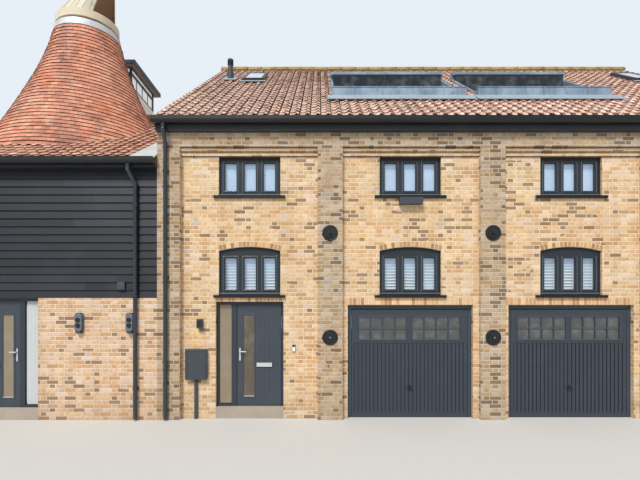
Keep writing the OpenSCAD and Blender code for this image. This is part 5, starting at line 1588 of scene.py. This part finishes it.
class OAST_OT_gutters(bpy.types.Operator):
    """Adds clips under the gutters"""

    bl_idname = "oast.gutters"
    bl_label = "Gutters"

    def execute(self, context):
        made = []
        y = WALL_FACE - 0.1625
        runs = [(RANGE_LEFT, RANGE_RIGHT, 5.708), (WING_LEFT, RANGE_LEFT, 4.948)]
        for number, (x0, x1, top) in enumerate(runs):
            z = top - 0.0625
            count = round((x1 - x0) / 0.9)
            pitch = (x1 - x0) / count
            mid = x0 + pitch / 2
            deselect()
            bpy.ops.mesh.primitive_cylinder_add(vertices=24, radius=0.0660, depth=0.030, location=(mid, y, z),
                                                rotation=(0, math.pi / 2, 0))
            clip = started(f"gutter_clip_{number}")
            alone(clip)
            # Narrower from front to rear, so that it stays inside the model's box
            bpy.ops.transform.resize(value=(1, 0.0622 / 0.0660, 1), center_override=(0, y, z))
            settle(clip)
            bisected(clip, (0, 0, z), (0, 0, 1))
            horn = block("gutter_clip_top", (mid - 0.015, y - 0.0622, top - 0.064),
                         (mid + 0.015, y - 0.0560, top + 0.004))
            clip = joined([clip, horn], f"gutter_clips_{number}")
            arrayed(clip, count, (pitch, 0, 0))
            made.append(clip)
        front = joined(made, "gutter_clips")
        rear = copied(front, "rear_gutter_clips", turn=Matrix.Diagonal((1, -1, 1, 1)))
        rear.data.flip_normals()
        placed(rear, "gutter")
        placed(front, "gutter")
        return {"FINISHED"}


class StageSettings(bpy.types.PropertyGroup):
    """The camera and the light."""

    eye: FloatVectorProperty(name="Eye", description="Place of the camera", default=(-0.1975, -13.45, 2.15),
                             subtype="TRANSLATION", unit="LENGTH")
    sun: FloatProperty(name="Sun", description="Strength of the soft sun", default=2.9, min=0.0, max=10.0)
    sky: FloatProperty(name="Sky", description="Strength of the sky's light", default=0.55, min=0.0, max=3.0)
    ground: FloatVectorProperty(name="Ground", description="Colour of the ground", default=(0.62, 0.61, 0.59),
                                subtype="COLOR", min=0.0, max=1.0)


IMAGE_WIDTH = 640
FOCAL_PIXELS = 420
HORIZON_DROP = 67
SENSOR = 36


class OAST_OT_stage(bpy.types.Operator):
    """Sets the plain ground, the soft light and the camera"""

    bl_idname = "oast.stage"
    bl_label = "Stage"

    def execute(self, context):
        settings = context.scene.oast_stage
        deselect()
        bpy.ops.mesh.primitive_plane_add(size=400, location=(0, 0, -0.002))
        ground = started("ground")
        paint = Paint("plain_ground")
        patch = paint.noise(paint.place(), 0.4, 3)
        paint.colour = settings.ground
        paint.lay(patch * 0.15, darker(settings.ground, 0.85))
        ground.data.materials.append(paint.finish(0.9))

        world = bpy.data.worlds.new("plain_sky")
        context.scene.world = world
        world.use_nodes = True
        tree = world.node_tree
        tree.nodes.clear()
        path, seen, share, light, shown, out = (
            tree.nodes.new("ShaderNode" + kind)
            for kind in ("LightPath", "Math", "MixShader", "Background", "Background", "OutputWorld"))
        seen.operation = "MAXIMUM"
        light.inputs["Color"].default_value = (0.90, 0.95, 1.0, 1.0)
        light.inputs["Strength"].default_value = settings.sky
        shown.inputs["Color"].default_value = (0.80, 0.86, 0.93, 1.0)
        for start, end in ((path.outputs["Is Camera Ray"], seen.inputs[0]),
                           (path.outputs["Is Transmission Ray"], seen.inputs[1]),
                           (seen.outputs[0], share.inputs["Fac"]), (light.outputs[0], share.inputs[1]),
                           (shown.outputs[0], share.inputs[2]), (share.outputs[0], out.inputs["Surface"])):
            tree.links.new(start, end)

        deselect()
        bpy.ops.object.light_add(type="SUN", rotation=(math.radians(40), 0, math.radians(-22)))
        sun = context.object
        sun.name = "soft_sun"
        sun.data.energy = settings.sun
        sun.data.angle = math.radians(16)
        sun.data.color = (1.0, 0.98, 0.94)

        deselect()
        bpy.ops.object.camera_add(location=settings.eye, rotation=(math.pi / 2, 0, 0))
        camera = context.object
        camera.name = "eye"
        camera.data.sensor_width = SENSOR
        camera.data.lens = FOCAL_PIXELS / IMAGE_WIDTH * SENSOR
        camera.data.shift_y = HORIZON_DROP / IMAGE_WIDTH
        camera.data.clip_end = 1000
        context.scene.camera = camera
        context.scene.view_settings.view_transform = "Standard"
        return {"FINISHED"}


class OAST_PT_house(bpy.types.Panel):
    """Lists what the house is made of"""

    bl_label = "Oast House"
    bl_idname = "OAST_PT_house"
    bl_space_type = "VIEW_3D"
    bl_region_type = "UI"
    bl_category = "Oast House"

    def draw(self, context):
        for settings in (getattr(context.scene, name) for name in GROUPS):
            for key in settings.__annotations__:
                self.layout.prop(settings, key)
        for operator in OPERATORS:
            self.layout.operator(operator.bl_idname)


GROUPS = {"oast_roofs": RoofSettings, "oast_openings": OpeningSettings, "oast_stage": StageSettings}
OPERATORS = [OAST_OT_finishes, OAST_OT_roof_tiles, OAST_OT_ridge_tiles, OAST_OT_cone_tiles, OAST_OT_windows,
             OAST_OT_garages, OAST_OT_entrances, OAST_OT_sidelights, OAST_OT_leadwork, OAST_OT_rooflights,
             OAST_OT_lantern, OAST_OT_fittings, OAST_OT_gutters, OAST_OT_stage]


def register():
    for item in [*GROUPS.values(), *OPERATORS, OAST_PT_house]:
        bpy.utils.register_class(item)
    for name, group in GROUPS.items():
        setattr(bpy.types.Scene, name, PointerProperty(type=group))


def unregister():
    for name in GROUPS:
        delattr(bpy.types.Scene, name)
    for item in [OAST_PT_house, *OPERATORS, *GROUPS.values()]:
        bpy.utils.unregister_class(item)


def main():
    register()
    for operator in OPERATORS:
        group, name = operator.bl_idname.split(".")
        if getattr(getattr(bpy.ops, group), name)() != {"FINISHED"}:
            raise RuntimeError(operator.bl_label + " did not finish")


if __name__ == "__main__":
    main()
